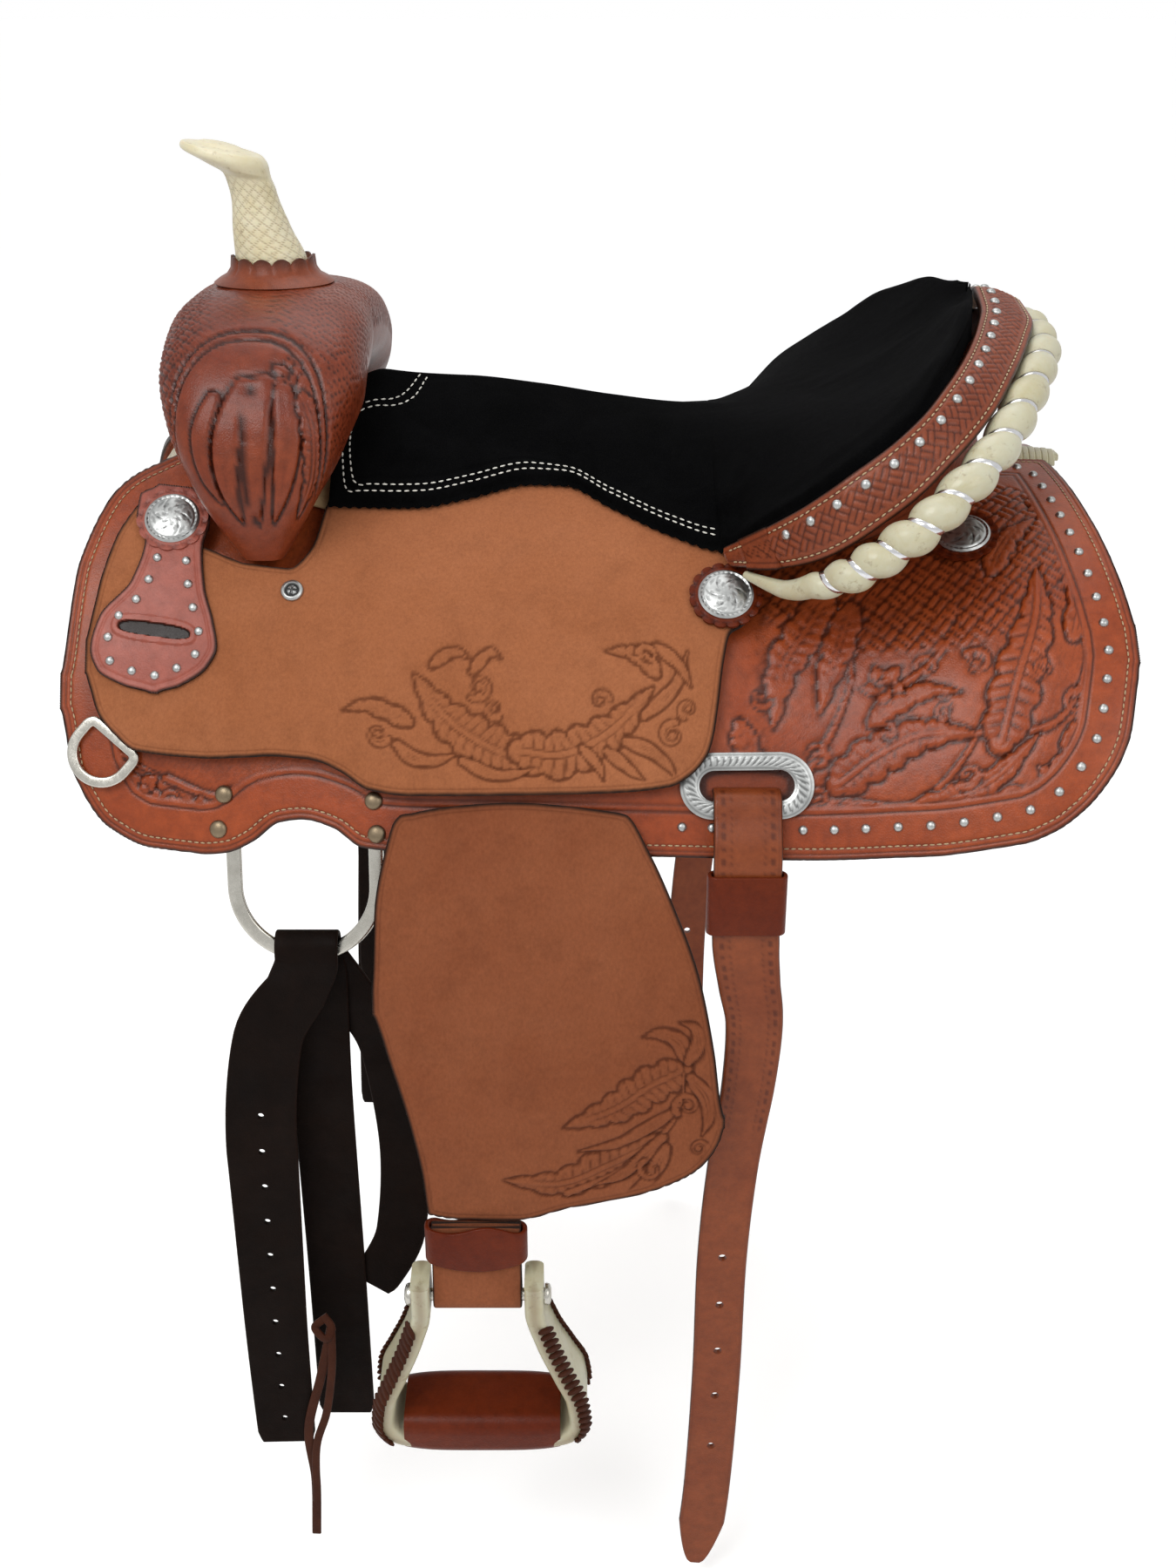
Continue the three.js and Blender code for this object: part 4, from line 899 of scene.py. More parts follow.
# ---------------------------------------------------------------- skirts and fleece
def superellipse(centre, radii, turn=0.0, power=2.6):
    """A soft mask over the plan, 1 inside a rounded, turned box and 0 outside."""
    c, n = math.cos(turn), math.sin(turn)

    def mask(x, s):
        u = ((x - centre[0]) * c + (s - centre[1]) * n) / radii[0]
        v = ((s - centre[1]) * c - (x - centre[0]) * n) / radii[1]
        return 1 - fade(0.96, 1.02, (np.abs(u) ** power + np.abs(v) ** power) ** (1 / power))

    return mask


PETALS = 5


def flower(carving, centre, radius, turn=0.0, lift=0.7):
    for k in range(PETALS):
        angle = turn + 2 * math.pi * k / PETALS
        ahead = np.array([math.cos(angle), math.sin(angle)])
        side = np.array([-ahead[1], ahead[0]])
        steps = ((0.25, 0), (0.65, 0.08), (1.0, 0.22))
        spine = [np.add(centre, ahead * radius * r + side * radius * b) for r, b in steps]
        carving.leaf(np.array(spine), radius * 0.36, veins=3, lift=lift, taper=0.6)
    carving.dimple(centre, radius * 0.24)


def oak_leaf(carving, spine, width, lobes=4, lift=0.8):
    spine = np.array(spine, float)
    carving.leaf(spine, width, lobes=lobes, veins=2.5 * lobes, lift=lift, taper=0.7, depth=1.0)


def scrolls(carving, rows):
    """Tendrils from rows of (centre, radius, heading, hand)."""
    for centre, radius, heading, hand in rows:
        carving.scroll(centre, radius, heading, hand)


def flowers(carving, rows):
    """Flowers from rows of (centre, radius, turn)."""
    for centre, radius, turn in rows:
        flower(carving, centre, radius, turn=turn)


def stems(carving, spines):
    for spine in spines:
        carving.leaf(np.array(spine, float), 2.6, lift=0.6, depth=0.6, start=0.5)


def skirt_carving():
    carving = Carving((-350, 350), (0, 345))
    stems(carving, (
        ((120, 300), (150, 262), (170, 215), (165, 180)),
        ((165, 296), (210, 300), (245, 262), (262, 215)),
        ((245, 262), (290, 262), (312, 225), (308, 190)),
        ((187, 230), (215, 215), (236, 190), (240, 168)),
    ))
    for spine, width, lobes in (
        (((156, 160), (142, 182), (126, 208), (120, 246)), 14, 5),
        (((172, 168), (164, 190), (156, 212), (150, 238)), 11, 4),
        (((258, 270), (270, 230), (284, 190), (290, 150)), 16, 6),
        (((160, 284), (184, 268), (212, 258), (244, 262)), 15, 6),
        (((306, 206), (314, 178), (318, 150), (314, 118)), 9, 4),
        (((206, 306), (232, 300), (256, 290), (280, 268)), 10, 5),
        (((98, 244), (104, 264), (116, 284), (132, 300)), 9, 4),
        (((182, 246), (196, 236), (214, 230), (236, 234)), 8, 4),
        (((296, 276), (312, 262), (322, 240), (324, 216)), 8, 4),
        (((262, 150), (270, 132), (282, 116), (298, 102)), 9, 4),
    ):
        oak_leaf(carving, spine, width, lobes)
    flowers(carving, (
        ((190, 222), 14, 0.3), ((290, 294), 12, 0.9), ((322, 196), 9, 0.2), ((304, 86), 12, 1.0),
        ((134, 318), 9, 0.4),
    ))
    scrolls(carving, (
        ((170, 302), 9, 0.5, 1), ((238, 288), 8, 2.4, -1), ((246, 216), 9, 4.0, 1), ((146, 264), 8, 1.2, -1),
        ((216, 214), 7, 3.4, 1), ((304, 250), 8, 5.2, -1), ((112, 226), 7, 0.4, 1), ((226, 244), 6, 1.5, 1),
        ((262, 306), 8, 0.0, -1), ((148, 292), 7, 2.8, 1), ((286, 226), 6, 4.4, -1), ((190, 254), 6, 5.0, 1),
        ((310, 164), 6, 1.0, 1), ((100, 292), 6, 3.0, -1),
    ))
    stems(carving, (
        ((-330, 232), (-318, 262), (-300, 282), (-276, 292)),
        ((-276, 292), (-246, 300), (-216, 296), (-196, 286)),
    ))
    flowers(carving, (
        ((-292, 302), 15, 0.2), ((-252, 312), 12, 0.7), ((-215, 300), 13, 0.5), ((-318, 275), 12, 1.1),
    ))
    scrolls(carving, (
        ((-272, 306), 9, 0.8, 1), ((-234, 300), 8, 2.0, -1), ((-196, 294), 8, 4.0, 1),
        ((-326, 246), 8, 1.0, -1), ((-304, 284), 7, 2.0, 1), ((-182, 290), 7, 0.5, -1),
    ))
    patch = superellipse((212, 126), (112, 78), turn=0.05)
    carving.weave(patch, cell=11.5, turn=0.75, height=0.8)
    ground = superellipse((218, 214), (112, 106))

    def matted(x, s):
        return np.maximum(ground(x, s), fade(-340, -330, x) - fade(-176, -166, x))

    carving.stipple(matted)
    return carving


def bordered(carving):
    """Relief inside a border: an edge crease, a stitching channel, a plain band and a double line."""
    inner = 29.0

    def relief(x, s, edge):
        lines = 0.55 * line_at(edge, 4.2, 0.8) + 0.45 * line_at(edge, STITCH_INSET, 1.1)
        lines += 0.7 * line_at(edge, inner, 1.0) + 0.5 * line_at(edge, inner + 4.5, 0.9)
        return carving.sample(x, s) * fade(inner + 4.5, inner + 6.5, edge) - lines

    return relief


def build_skirts():
    """The skirts with their stitching and spots, the fleece under them and the lacing that joins them."""
    skirt = Sheet("skirt_left")
    relief = bordered(skirt_carving())
    inner, outer = SLOT["opening"][0] / 2 + 3, SLOT["opening"][1] / 2 + 3

    def with_slot(x, s, edge):
        away = superellipse((SLOT["x"], SLOT["s"]), (inner, outer), power=3.2)(x, s)
        return relief(x, s, edge) * (1 - away) - 4.2 * away

    shape = skirt.shape(1.6, with_slot, heights=(0, 5), rounding=2.2)
    place_pair("skirt", shape, "skirt", stands_for=["skirt"])
    exposed = skirt.inset(STITCH_INSET)
    place_pair("skirt_stitches", surface_stitches(exposed, 4.9), "cream_thread")
    ring = every(skirt.inset(STUD_INSET), STUD_PITCH)
    shown = ring[(ring[:, 0] > 60) & (ring[:, 1] > 16)]
    place_pair("skirt_studs", surface_studs(shown, 5.0), "silver")
    fleece = Sheet("fleece_left").shape(3.2, heights=(-16, -4), rounding=5)
    points = fleece.points
    x, y, z = points.T
    wave = np.sin(x * 0.71 + 2 * np.sin(y * 0.33)) * np.sin(z * 0.83 + y * 0.47)
    tuft = np.sin(x * 1.9 + z) * np.sin(z * 2.1 - y * 1.7)
    s, _ = base.place(points)
    out = base.frames(x, s)[:, 2]
    half = len(points) // 2
    out[:half] = 0
    fleece.points = points - out * (1.4 + 1.6 * wave + 0.8 * tuft)[:, None]
    place_pair("fleece", fleece, "wool", stands_for=["fleece"])
    strands = []
    for k in range(7):
        x = 302 + 4.6 * k
        y = np.linspace(-15, 15, 13)
        lift = 6.4 * np.cos(y / 15 * math.pi / 2) ** 0.6 + 0.3 * (k % 2)
        spine = np.interp(x, (110, 330), (SPINE[1], SPINE[2])) if x < 330 else SPINE[2]
        path = np.stack([x + y * 0.12, y, np.full(13, spine) + lift], 1)
        strands.append(sweep(path, np.tile((0, 0, 1), (13, 1)), section(4.8, 2.6)))
    core = np.stack([np.linspace(298, 334, 10), np.zeros(10), np.full(10, SPINE[2] + 3.4)], 1)
    strands.append(sweep(core, np.tile((0, 0, 1), (10, 1)), section(17, 5)))
    place_piece("skirt_lacing", joined(strands), "rawhide", stands_for=["skirt_lacing"])


# ---------------------------------------------------------------- jockeys and fenders
def jockey_carving():
    carving = Carving((-170, 90), (180, 292))
    lift = 0.75
    for spine, width, lobes in (
        (((-40, 268), (-66, 258), (-92, 240), (-112, 214)), 15, 6),
        (((-44, 262), (-16, 264), (14, 250), (42, 222)), 15, 6),
        (((-114, 244), (-128, 238), (-142, 234), (-157, 238)), 6, 3),
        (((44, 214), (38, 206), (28, 200), (12, 199)), 6, 3),
    ):
        oak_leaf(carving, spine, width, lobes, lift=lift)
    for spine, width in (
        (((-100, 208), (-92, 202), (-84, 200), (-76, 204)), 4.0),
        (((-74, 212), (-68, 204), (-62, 200), (-56, 204)), 4.0),
        (((-122, 258), (-112, 266), (-98, 268), (-84, 264)), 4.5),
        (((-80, 268), (-62, 276), (-46, 276), (-34, 272)), 4.0),
        (((36, 240), (48, 230), (58, 218), (64, 200)), 4.5),
        (((24, 256), (40, 262), (52, 272), (56, 280)), 4.5),
        (((12, 262), (20, 268), (30, 276), (36, 280)), 4.0),
        (((44, 196), (52, 202), (60, 210), (66, 222)), 4.0),
        (((-4, 260), (4, 268), (8, 274), (10, 280)), 3.5),
    ):
        carving.leaf(np.array(spine, float), width, veins=2, lift=lift, depth=0.85)
    scrolls(carving, (
        ((-134, 252), 7, 0.4, 1), ((-70, 222), 8, 2.2, -1), ((38, 202), 7, 3.4, 1), ((54, 252), 8, 5.0, -1),
        ((-60, 236), 6, 1.0, 1), ((8, 230), 6, 0.0, -1), ((64, 236), 6, 2.0, 1),
    ))
    return carving


def fender_carving():
    carving = Carving((-70, 92), (425, 590))
    lift = 0.75
    oak_leaf(carving, ((44, 524), (14, 540), (-18, 554), (-56, 552)), 14, lobes=6, lift=lift)
    oak_leaf(carving, ((62, 470), (40, 482), (18, 498), (-16, 512)), 14, lobes=6, lift=lift)
    stem = np.array(((-14, 562), (16, 548), (40, 528), (60, 500), (64, 462)), float)
    carving.leaf(stem, 2.6, lift=lift, depth=0.7, start=0.5)
    for spine, width in (
        (((58, 500), (40, 512), (20, 524), (-6, 530)), 4.5),
        (((50, 520), (36, 536), (22, 548), (4, 556)), 5.0),
        (((52, 528), (46, 542), (40, 552), (28, 560)), 5.5),
        (((64, 462), (60, 450), (48, 444), (36, 446)), 6.0),
        (((66, 464), (72, 452), (70, 440), (60, 436)), 5.0),
        (((68, 476), (78, 490), (80, 506), (76, 518)), 5.5),
    ):
        carving.leaf(np.array(spine, float), width, veins=2, lift=lift, depth=0.9)
    scrolls(carving, (((66, 496), 9, 2.4, 1), ((42, 544), 8, 4.2, -1), ((74, 528), 7, 1.0, -1)))
    return carving


def creased(carving):
    def relief(x, s, edge):
        return carving.sample(x, s) * fade(3, 8, edge) - 0.35 * line_at(edge, 4, 0.9)

    return relief


def settled(x):
    """How far the jockey's rear end sinks to the skirt, in millimetres."""
    return 6 * fade(88, 112, x)


def build_jockeys():
    relief = creased(jockey_carving())

    def lowered(x, s, edge):
        return relief(x, s, edge) - settled(x)

    jockey = Sheet("seat_jockey_left").shape(1.35, lowered, heights=(12.6, 17), crowding=0.05)
    jockey.marks["recess"] = jockey.marks["recess"] * (1 - fade(84, 88, jockey.points[:, 0]))
    under = jockey.points[len(jockey.points) // 2 :]
    s, _ = base.place(under)
    under -= base.frames(under[:, 0], s)[:, 2] * settled(under[:, 0])[:, None]
    place_pair("seat_jockey", jockey, "jockey", stands_for=["seat_jockey"])
    fender = Sheet("fender_left")
    shape = fender.shape(1.3, creased(fender_carving()), heights=(8, 12), rounding=1.8, crowding=0.05)
    place_pair("fender", shape, "fender", body="fender", stands_for=["fender"])


# ---------------------------------------------------------------- latigo keeper flap
FLAP_SLOT = (-281.5, 199)  # middle of the slot, in x and s
# the flap's half widths to the left and right of its concho, at distances down from its head
FLAP_LEFT = smooth_rows((0, 8, 22, 36, 60, 82, 100, 112, 120, 123), (12, 23, 24, 17, 24, 44, 49, 44, 26, 10))
FLAP_RIGHT = smooth_rows((0, 8, 22, 36, 60, 80, 94, 106, 118, 123), (12, 23, 24, 21, 24, 31, 34, 28, 10, -4))


def build_flap():
    """The latigo keeper: a flap with a slot, hung from the front concho; the slot is a shallow dip painted
    dark as shade.
    """
    r = np.linspace(0, 123, 210)
    left, right = FLAP_LEFT(r)[:, 0], FLAP_RIGHT(r)[:, 0]
    w = np.linspace(0, 1, 140)
    w = w - 0.08 * np.sin(2 * math.pi * w)
    x = FRONT_CONCHO[0] + (-left[:, None] * (1 - w) + right[:, None] * w)
    s = np.repeat((100 + 1.13 * r)[:, None], len(w), axis=1)
    plan = np.stack([x, s], -1)
    outline = Plan(np.concatenate([plan[:, 0], plan[-1], plan[::-1, -1], plan[0, ::-1]]))
    edge = outline.margin(plan)
    slot, lip = (superellipse(FLAP_SLOT, radii, turn=0.06, power=3)(x, s) for radii in ((24, 4.4), (28, 8.5)))
    drop = rounded(edge, 1.8)
    head = 1 - fade(138, 150, s)
    raised = 1.0 * lip - 3.2 * slot - 0.4 * line_at(edge, 4.5, 0.9) * (1 - head)
    top = 20.4 + raised - drop + 0.7 * np.sin((s - 100) * 0.06) * fade(0, 30, edge)
    low = np.full_like(top, 17.4)
    # painted shade: the slot is only a shallow dip, so both marks colour it near black as the shade inside
    # the opening
    marks = {"recess": np.maximum(slot, 0.0), "edge": np.maximum(1 - fade(0.3, 2.6, edge), slot)}
    shape = slab(base.at(x, s, np.maximum(top, low + 0.5)), base.at(x, s, low), marks)
    place_pair("latigo_keeper", shape, "flap", stands_for=["latigo_keeper"])
    ring = outline.inset(10.5)
    ring = every(ring[ring[:, 1] > 152], 15.5)
    place_pair("latigo_keeper_studs", surface_studs(ring, 20.3, 3.1), "silver")


# ---------------------------------------------------------------- conchos, rosettes and screws
def placed(shape, x, s, h, reach=18):
    """The shape set on the base surface at (x, s), h above it."""
    axes = base.frames(np.array([x], float), np.array([s], float), np.zeros(1), reach=reach)[0]
    return shape.moved(axes, base.at(x, s, h))


def concho_shape(radius=CONCHO_RADIUS, sides=96):
    steps = np.linspace(0, 1, 26)
    dome = 3.4 * (1 - steps**2.2) + 0.55 * line_at(steps, 0.93, 0.035) - 0.5 * line_at(steps, 0.84, 0.03)
    profile = np.stack([radius * steps[::-1], 0.9 + dome[::-1]], 1)
    profile = np.vstack([[radius * 0.98, 0.0], profile])[:-1]
    recess = np.zeros((len(profile), sides))

    def ripple(r, height, angle):
        w = r / radius
        petals = np.abs(np.sin(3 * angle + 5 * w))
        scroll = np.sin(6 * angle + 9 * w) * np.sin(16 * w)
        cut = np.clip(0.55 * (petals < 0.16) + 0.4 * (scroll < -0.35), 0, 1)
        cut = cut * fade(0.1, 0.22, w) * (1 - fade(0.72, 0.8, w))
        ticks = (np.sin(30 * angle) < -0.2) * line_at(w, 0.885, 0.03)
        recess[:] = np.clip(cut + ticks, 0, 1)
        return r, height - 0.42 * cut - 0.25 * ticks

    shape = lathe(profile, sides, ripple=ripple)
    shape.marks["recess"] = np.concatenate([recess.ravel(), [0, 0]])
    return shape


def rosette_shape(radius=24, lobes=16, thick=2.8, flutes=False, sides=128):
    steps = np.linspace(0.3, 1, 16)
    profile = [*[(radius * t, thick) for t in steps], (radius, thick * 0.45), (radius * 0.985, 0.0)]
    recess = np.zeros((len(profile), sides))

    def ripple(r, height, angle):
        w = r / radius
        scallop = np.abs(np.sin(lobes * angle / 2)) ** 0.55
        r = r * (1 - 0.075 * (1 - scallop) * fade(0.7, 1.0, w))
        groove = (1 - scallop) * fade(0.78 if not flutes else 0.3, 0.95, w)
        bead = line_at(w, 0.86, 0.03) * (np.abs(np.sin(lobes * angle)) > 0.5)
        top = height > thick * 0.9
        recess[:] = np.clip(groove + 0.5 * bead, 0, 1) * top
        return r, height - (0.9 * groove + 0.4 * bead) * top

    shape = lathe(profile, sides, ripple=ripple)
    shape.marks["recess"] = np.concatenate([recess.ravel(), [0, 0]])
    return shape


def screw_shape():
    rim = [(7.4, 0), (7.4, 1.1), (6.6, 2.0), (5.4, 2.3), (4.4, 1.6)]
    profile = [*rim, (3.9, 1.1), (3.5, 1.3), (2.6, 2.0), (1.6, 2.3), (0.8, 2.4)]

    def ripple(r, height, angle):
        cross = np.minimum(np.abs(r * np.cos(angle)), np.abs(r * np.sin(angle))) < 0.75
        return r, height - 1.1 * cross * (r < 3)

    screw = lathe(profile, 72, ripple=ripple)
    r = np.hypot(screw.points[:, 0], screw.points[:, 1])
    screw.marks["recess"] = np.where((r < 4.6) & (screw.points[:, 2] < 1.7), 1.0, 0.0)
    return screw


def build_hardware():
    rosette, concho = rosette_shape(), concho_shape()
    small, fluted = rosette_shape(23.5, 14, 2.0), rosette_shape(24, 18, 2.8, True)
    for name, shape, place, height, look in (
        ("front_rosette", small, FRONT_CONCHO, 19.6, "flap"),
        ("front_concho", concho, FRONT_CONCHO, 21.0, "silver"),
        ("jockey_rosette", rosette, JOCKEY_CONCHO, 17.4, "brown"),
        ("jockey_concho", concho, JOCKEY_CONCHO, 20.0, "silver"),
        ("rear_rosette", fluted, REAR_CONCHO, 6.0, "brown"),
        ("rear_concho", concho, REAR_CONCHO, 8.6, "silver"),
        ("seat_screw", screw_shape(), SEAT_SCREW, 17.2, "silver"),
    ):
        nodes = () if name == "front_rosette" else (name,)
        place_pair(name, placed(shape, *place, height), look, stands_for=nodes)
    rivets = joined([placed(dome_template(6.0, 3.4, 28, 7), x, s, 5.2) for x, s in RIVETS])
    place_pair("rigging_rivets", rivets, "bronze")


# ---------------------------------------------------------------- swell, horn and collar
ARCH = smooth_rows(
    range(6),
    (
        (122, -62, 12, 14, -213),
        (123, -24, 26, 37, -213),
        (113, 11, 33, 55, -213),
        (86, 45, 35, 66, -212),
        (45, 62, 33, 66, -212),
        (0, 67, 31, 63, -212),
    ),
)  # y, z, half thickness, half length and x along the near half of the arch
HORN = smooth_rows(
    (108, 131, 154, 164, 171, 178, 182, 184.5),
    (
        (-216, 24, 24, 0),
        (-221, 19.5, 19.5, 0),
        (-225, 15.5, 16, 4),
        (-228, 16, 17, 10),
        (-236, 23, 24, 13),
        (-243, 29, 28, 12),
        (-244, 27, 27, 12),
        (-245, 15, 15, 12),
    ),
)  # x, half length, half width and tilt up the horn


def arch(t):
    t = np.asarray(t, float)
    y, z, thick, length, x = np.moveaxis(ARCH(np.where(t <= 5, t, 10 - t)), -1, 0)
    return np.stack([x, np.where(t <= 5, -y, y), z], -1), thick, length


def signed_power(w, power):
    return np.sign(w) * np.abs(w) ** (2 / power)


def swell_carving():
    """The plan runs along the arch from the near foot, then from the front of the swell to the rear."""
    carving = Carving((0, 190), (-95, 95))
    for spine, width in (
        (((120, -4), (90, -14), (60, -16), (30, -8)), 10),
        (((122, 8), (92, 4), (60, 2), (28, 2)), 9),
        (((118, 20), (90, 24), (58, 20), (30, 12)), 9),
        (((112, -24), (88, -32), (64, -30), (44, -20)), 7),
    ):
        carving.leaf(np.array(spine, float), width, lift=1.2, taper=0.7, depth=1.3)
    flower(carving, (130, 22), 11, lift=1.0)
    oak_leaf(carving, ((114, 33), (90, 40), (60, 39), (32, 28)), 8, lobes=6, lift=1.0)
    return carving


PANEL = {"middle": (72, 4), "radii": (84, 50), "power": 2.3}  # the oval panel on the swell's side


def panel_rim(q, p):
    """Two raised lines round the panel, each with a soft shoulder."""
    rim = np.zeros_like(q)
    power = PANEL["power"]
    for size in (1.0, 1.1):
        wide, tall = (radius * size for radius in PANEL["radii"])
        inside = superellipse(PANEL["middle"], (wide, tall), power=power)(q, p)
        rim += 0.9 * np.clip(4 * inside * (1 - inside), 0, 1)
        u, v = np.abs((q - PANEL["middle"][0]) / wide), np.abs((p - PANEL["middle"][1]) / tall)
        rim += 0.9 * line_at(((u**power + v**power) ** (1 / power) - 1) * PANEL["radii"][1], 0, 1.2)
    return rim


def build_swell():
    """Worked out on rings round the arch; q runs along the arch from a foot, p across it from its crest."""
    count, sides = 300, 220
    t = np.linspace(0, 10, count)
    centre, thick, length = arch(t)
    ahead, _, _ = arch(np.minimum(t + 0.05, 10))
    behind, _, _ = arch(np.maximum(t - 0.05, 0))
    along = unit((ahead - behind) * (0, 1, 1))
    outward = unit(np.cross((1.0, 0.0, 0.0), along))
    angle = np.linspace(0, 2 * math.pi, sides, endpoint=False)
    u, v = signed_power(np.cos(angle), 3), signed_power(np.sin(angle), 3)
    lengthways = np.einsum("n,a,c->nac", length, u, (1.0, 0, 0))
    rings = centre[:, None] + lengthways + outward[:, None] * (thick[:, None] * v)[..., None]
    normal = unit(np.cross(np.gradient(rings, axis=1), np.gradient(rings, axis=0)))
    facing = np.einsum("nac,nc->na", normal, outward)
    if facing[:, sides // 4].mean() < 0:
        normal = -normal
    run = arc_lengths(rings[:, sides // 4])
    q = np.repeat(np.minimum(run, run[-1] - run)[:, None], sides, axis=1)
    gap = np.linalg.norm(np.diff(rings, axis=1, append=rings[:, :1]), axis=2)
    around = np.cumsum(gap, axis=1) - gap
    p = around - around[:, sides // 4 : sides // 4 + 1]
    p = np.where(np.sin(angle)[None, :] < -0.3, -120.0, p)
    medal = superellipse(PANEL["middle"], PANEL["radii"], power=PANEL["power"])(q, p)
    front = fade(30, 50, p) * (p < 110)
    woven = basket(q, p, 9.0, 0.8, 0.8) * (1 - medal) * (p > 0) * (p < 110)
    dents = np.sin(q * 1.15 + 1.3 * np.sin(p * 0.4)) * np.sin(p * 1.0 + 1.1 * np.sin(q * 0.35))
    stippled = 0.7 * np.minimum(dents, 0.1) * (1 - medal) * (p < 0)
    relief = swell_carving().sample(q, -p) * medal - panel_rim(q, p) + woven * (0.4 + 0.6 * front) + stippled
    relief = relief * fade(2, 12, q) * (1 - fade(86, 110, np.abs(p)))
    relief = relief * fade(0, 14, np.hypot(rings[..., 0] + 216, rings[..., 1]) - 34)
    rings = rings + normal * relief[..., None]
    marks = {"recess": hollows(relief, 3, 0.6)}
    place_piece("swell_cover", loft(rings, marks), "swell", stands_for=["swell_cover"])


def build_horn():
    """The rawhide-wrapped horn, laced in a net on its neck, and the scalloped collar at its foot."""
    z = np.concatenate([np.linspace(99, 168, 110), np.linspace(168, 184.5, 40)[1:]])
    x, length, width, tilt = np.moveaxis(HORN(np.maximum(z, 108)), -1, 0)
    low = np.clip((108 - z) / 9, 0, 1)
    length, width = length + 1.5 * low, width + 1.5 * low
    sides = 84
    angle = np.linspace(0, 2 * math.pi, sides, endpoint=False)
    tilt = np.radians(tilt)
    crown = np.stack([x, np.zeros_like(x), z], 1)
    lean = np.stack([np.cos(tilt), np.zeros_like(tilt), -np.sin(tilt)], 1)
    a, b = np.meshgrid(z, angle, indexing="ij")
    strands = [(b * 7 / math.pi + lean_by * a / 7.2) % 1 for lean_by in (1, -1)]
    one, two = (line_at(np.abs(strand - 0.5), 0.5, 0.055) for strand in strands)
    net = np.maximum(one, two) * (1 - fade(160, 168, a))
    plain = fade(168, 178, a)
    relief = -0.35 * net + 0.25 * (1 - plain)
    radial = np.stack([np.cos(angle), np.sin(angle)], 1)
    rings = crown[:, None] + lean[:, None] * ((length[:, None] + relief) * radial[:, 0])[..., None]
    rings = rings + np.array((0.0, 1.0, 0.0)) * ((width[:, None] + relief) * radial[:, 1])[..., None]
    middle = rings[-1].mean(0)
    dome = ((0.8, 0.9), (0.5, 1.6), (0.2, 1.9))
    top = [middle + (rings[-1] - middle) * shrink + np.array((0, 0, rise)) for shrink, rise in dome]
    marks = {"recess": np.vstack([np.clip(net * 0.75, 0, 1), np.zeros((len(dome), sides))])}
    place_piece("horn_wrap", loft(np.concatenate([rings, top]), marks), "horn", stands_for=["horn_wrap"])

    def scalloped(r, height, around):
        wave = np.abs(np.sin(6.5 * around)) ** 0.6
        return r + 0.8 * wave * fade(105, 110, height), height + 4.4 * (wave - 0.7) * fade(104, 110, height)

    skirted = [(25, 98), (34, 96.8), (40, 95.6), (41, 96.6), (37, 99.5)]
    upright = [(32, 102.2), (29.2, 106), (27.8, 112.4), (26.4, 112.6), (25, 110)]
    collar = lathe(skirted + upright, 156, centre=(-215, 0, 0), ripple=scalloped)
    top = fade(109, 113, collar.points[:, 2])
    # painted shade: the collar's foot, below 98 mm where it meets the swell, is darkened through the recess
    # mark; the top rim takes the dark edge colour
    collar.marks = {"edge": 0.7 * top, "recess": 0.3 * (1 - fade(95.5, 98, collar.points[:, 2]))}
    place_piece("horn_collar", collar, "band", stands_for=["horn_collar"])


# ---------------------------------------------------------------- seat
CLOTH_FRAMES = 20
CLOTH_CAP = 7.0  # the most that the cloth may move a point
# s at the seat's lower edge, over the jockeys, by x
SEAT_FRONT = smooth_rows(
    (-173, -143, -110, -79, -38, -15, 15, 55, 89),
    (100, 98, 96, 88, 76, 77, 96, 119, 131),
)
RIM_ROWS = (
    (89, 128, -53), (113, 162, -28), (133, 181, -9), (154, 191, 10), (177, 187, 26), (201, 172, 43),
    (218, 150, 57), (235, 115, 68), (249, 75, 78), (258, 38, 86), (261, 0, 93),
)  # x, half width and height along the rim of the seat
RIM = smooth_rows([row[0] for row in RIM_ROWS], [row[1:] for row in RIM_ROWS])
CROWN = smooth_rows((-175, -143, -83, -33, 15, 60, 95), (25, 36, 36, 31, 23, 18, 17))


def seat_edge(x):
    rim = RIM(x)
    front = base.at(x, SEAT_FRONT(x)[..., 0], 23.0)
    back = x > 89
    return np.where(back, rim[..., 0], -front[..., 1]), np.where(back, rim[..., 1], front[..., 2])


def seat_height(x, y):
    half, edge = seat_edge(x)
    w = np.minimum(1, np.abs(y) / np.maximum(half, 1e-6))
    crown = np.where(x < 95, CROWN(x)[..., 0], 17 + 76 * (np.maximum(x - 95, 0) / 166) ** 3)
    padded = 23 * fade(98, 215, x) * w**2 * (1 - w**6)
    power = 1.4 + 0.6 * fade(60, 180, x)
    mix = w**power
    return crown * (1 - mix) + edge * mix + padded


def seat_normal(x, y):
    dx = seat_height(x + 1.5, y) - seat_height(x - 1.5, y)
    dy = seat_height(x, y + 1.5) - seat_height(x, y - 1.5)
    return unit(np.stack([-dx / 3, -dy / 3, np.ones_like(dx)], -1))


def seat_rows():
    """Plans of the two stitched rows, in from the swell, round the front corner and along the lower edge."""
    for inset in (8.0, 13.0):
        x = np.linspace(-173 + inset, 84, 140)
        half, _ = seat_edge(x)
        side = np.stack([x, -(half - 1.0 - inset * 0.78)], 1)
        d = inset - 8
        head = [(-118 + d, -5 - d / 2), (-125 + d, -19 - d), (-134 + d / 2, -28 - d), (-147, -31 - d)]
        turn = [(-159 + d / 2, -33 - d), (-165 + d, -38 - d), (-166 + d, -50), (-166 + d, -64)]
        yield spline(np.vstack([head, turn, side[1:2] + (0, 6), side[3::3]]), 320)


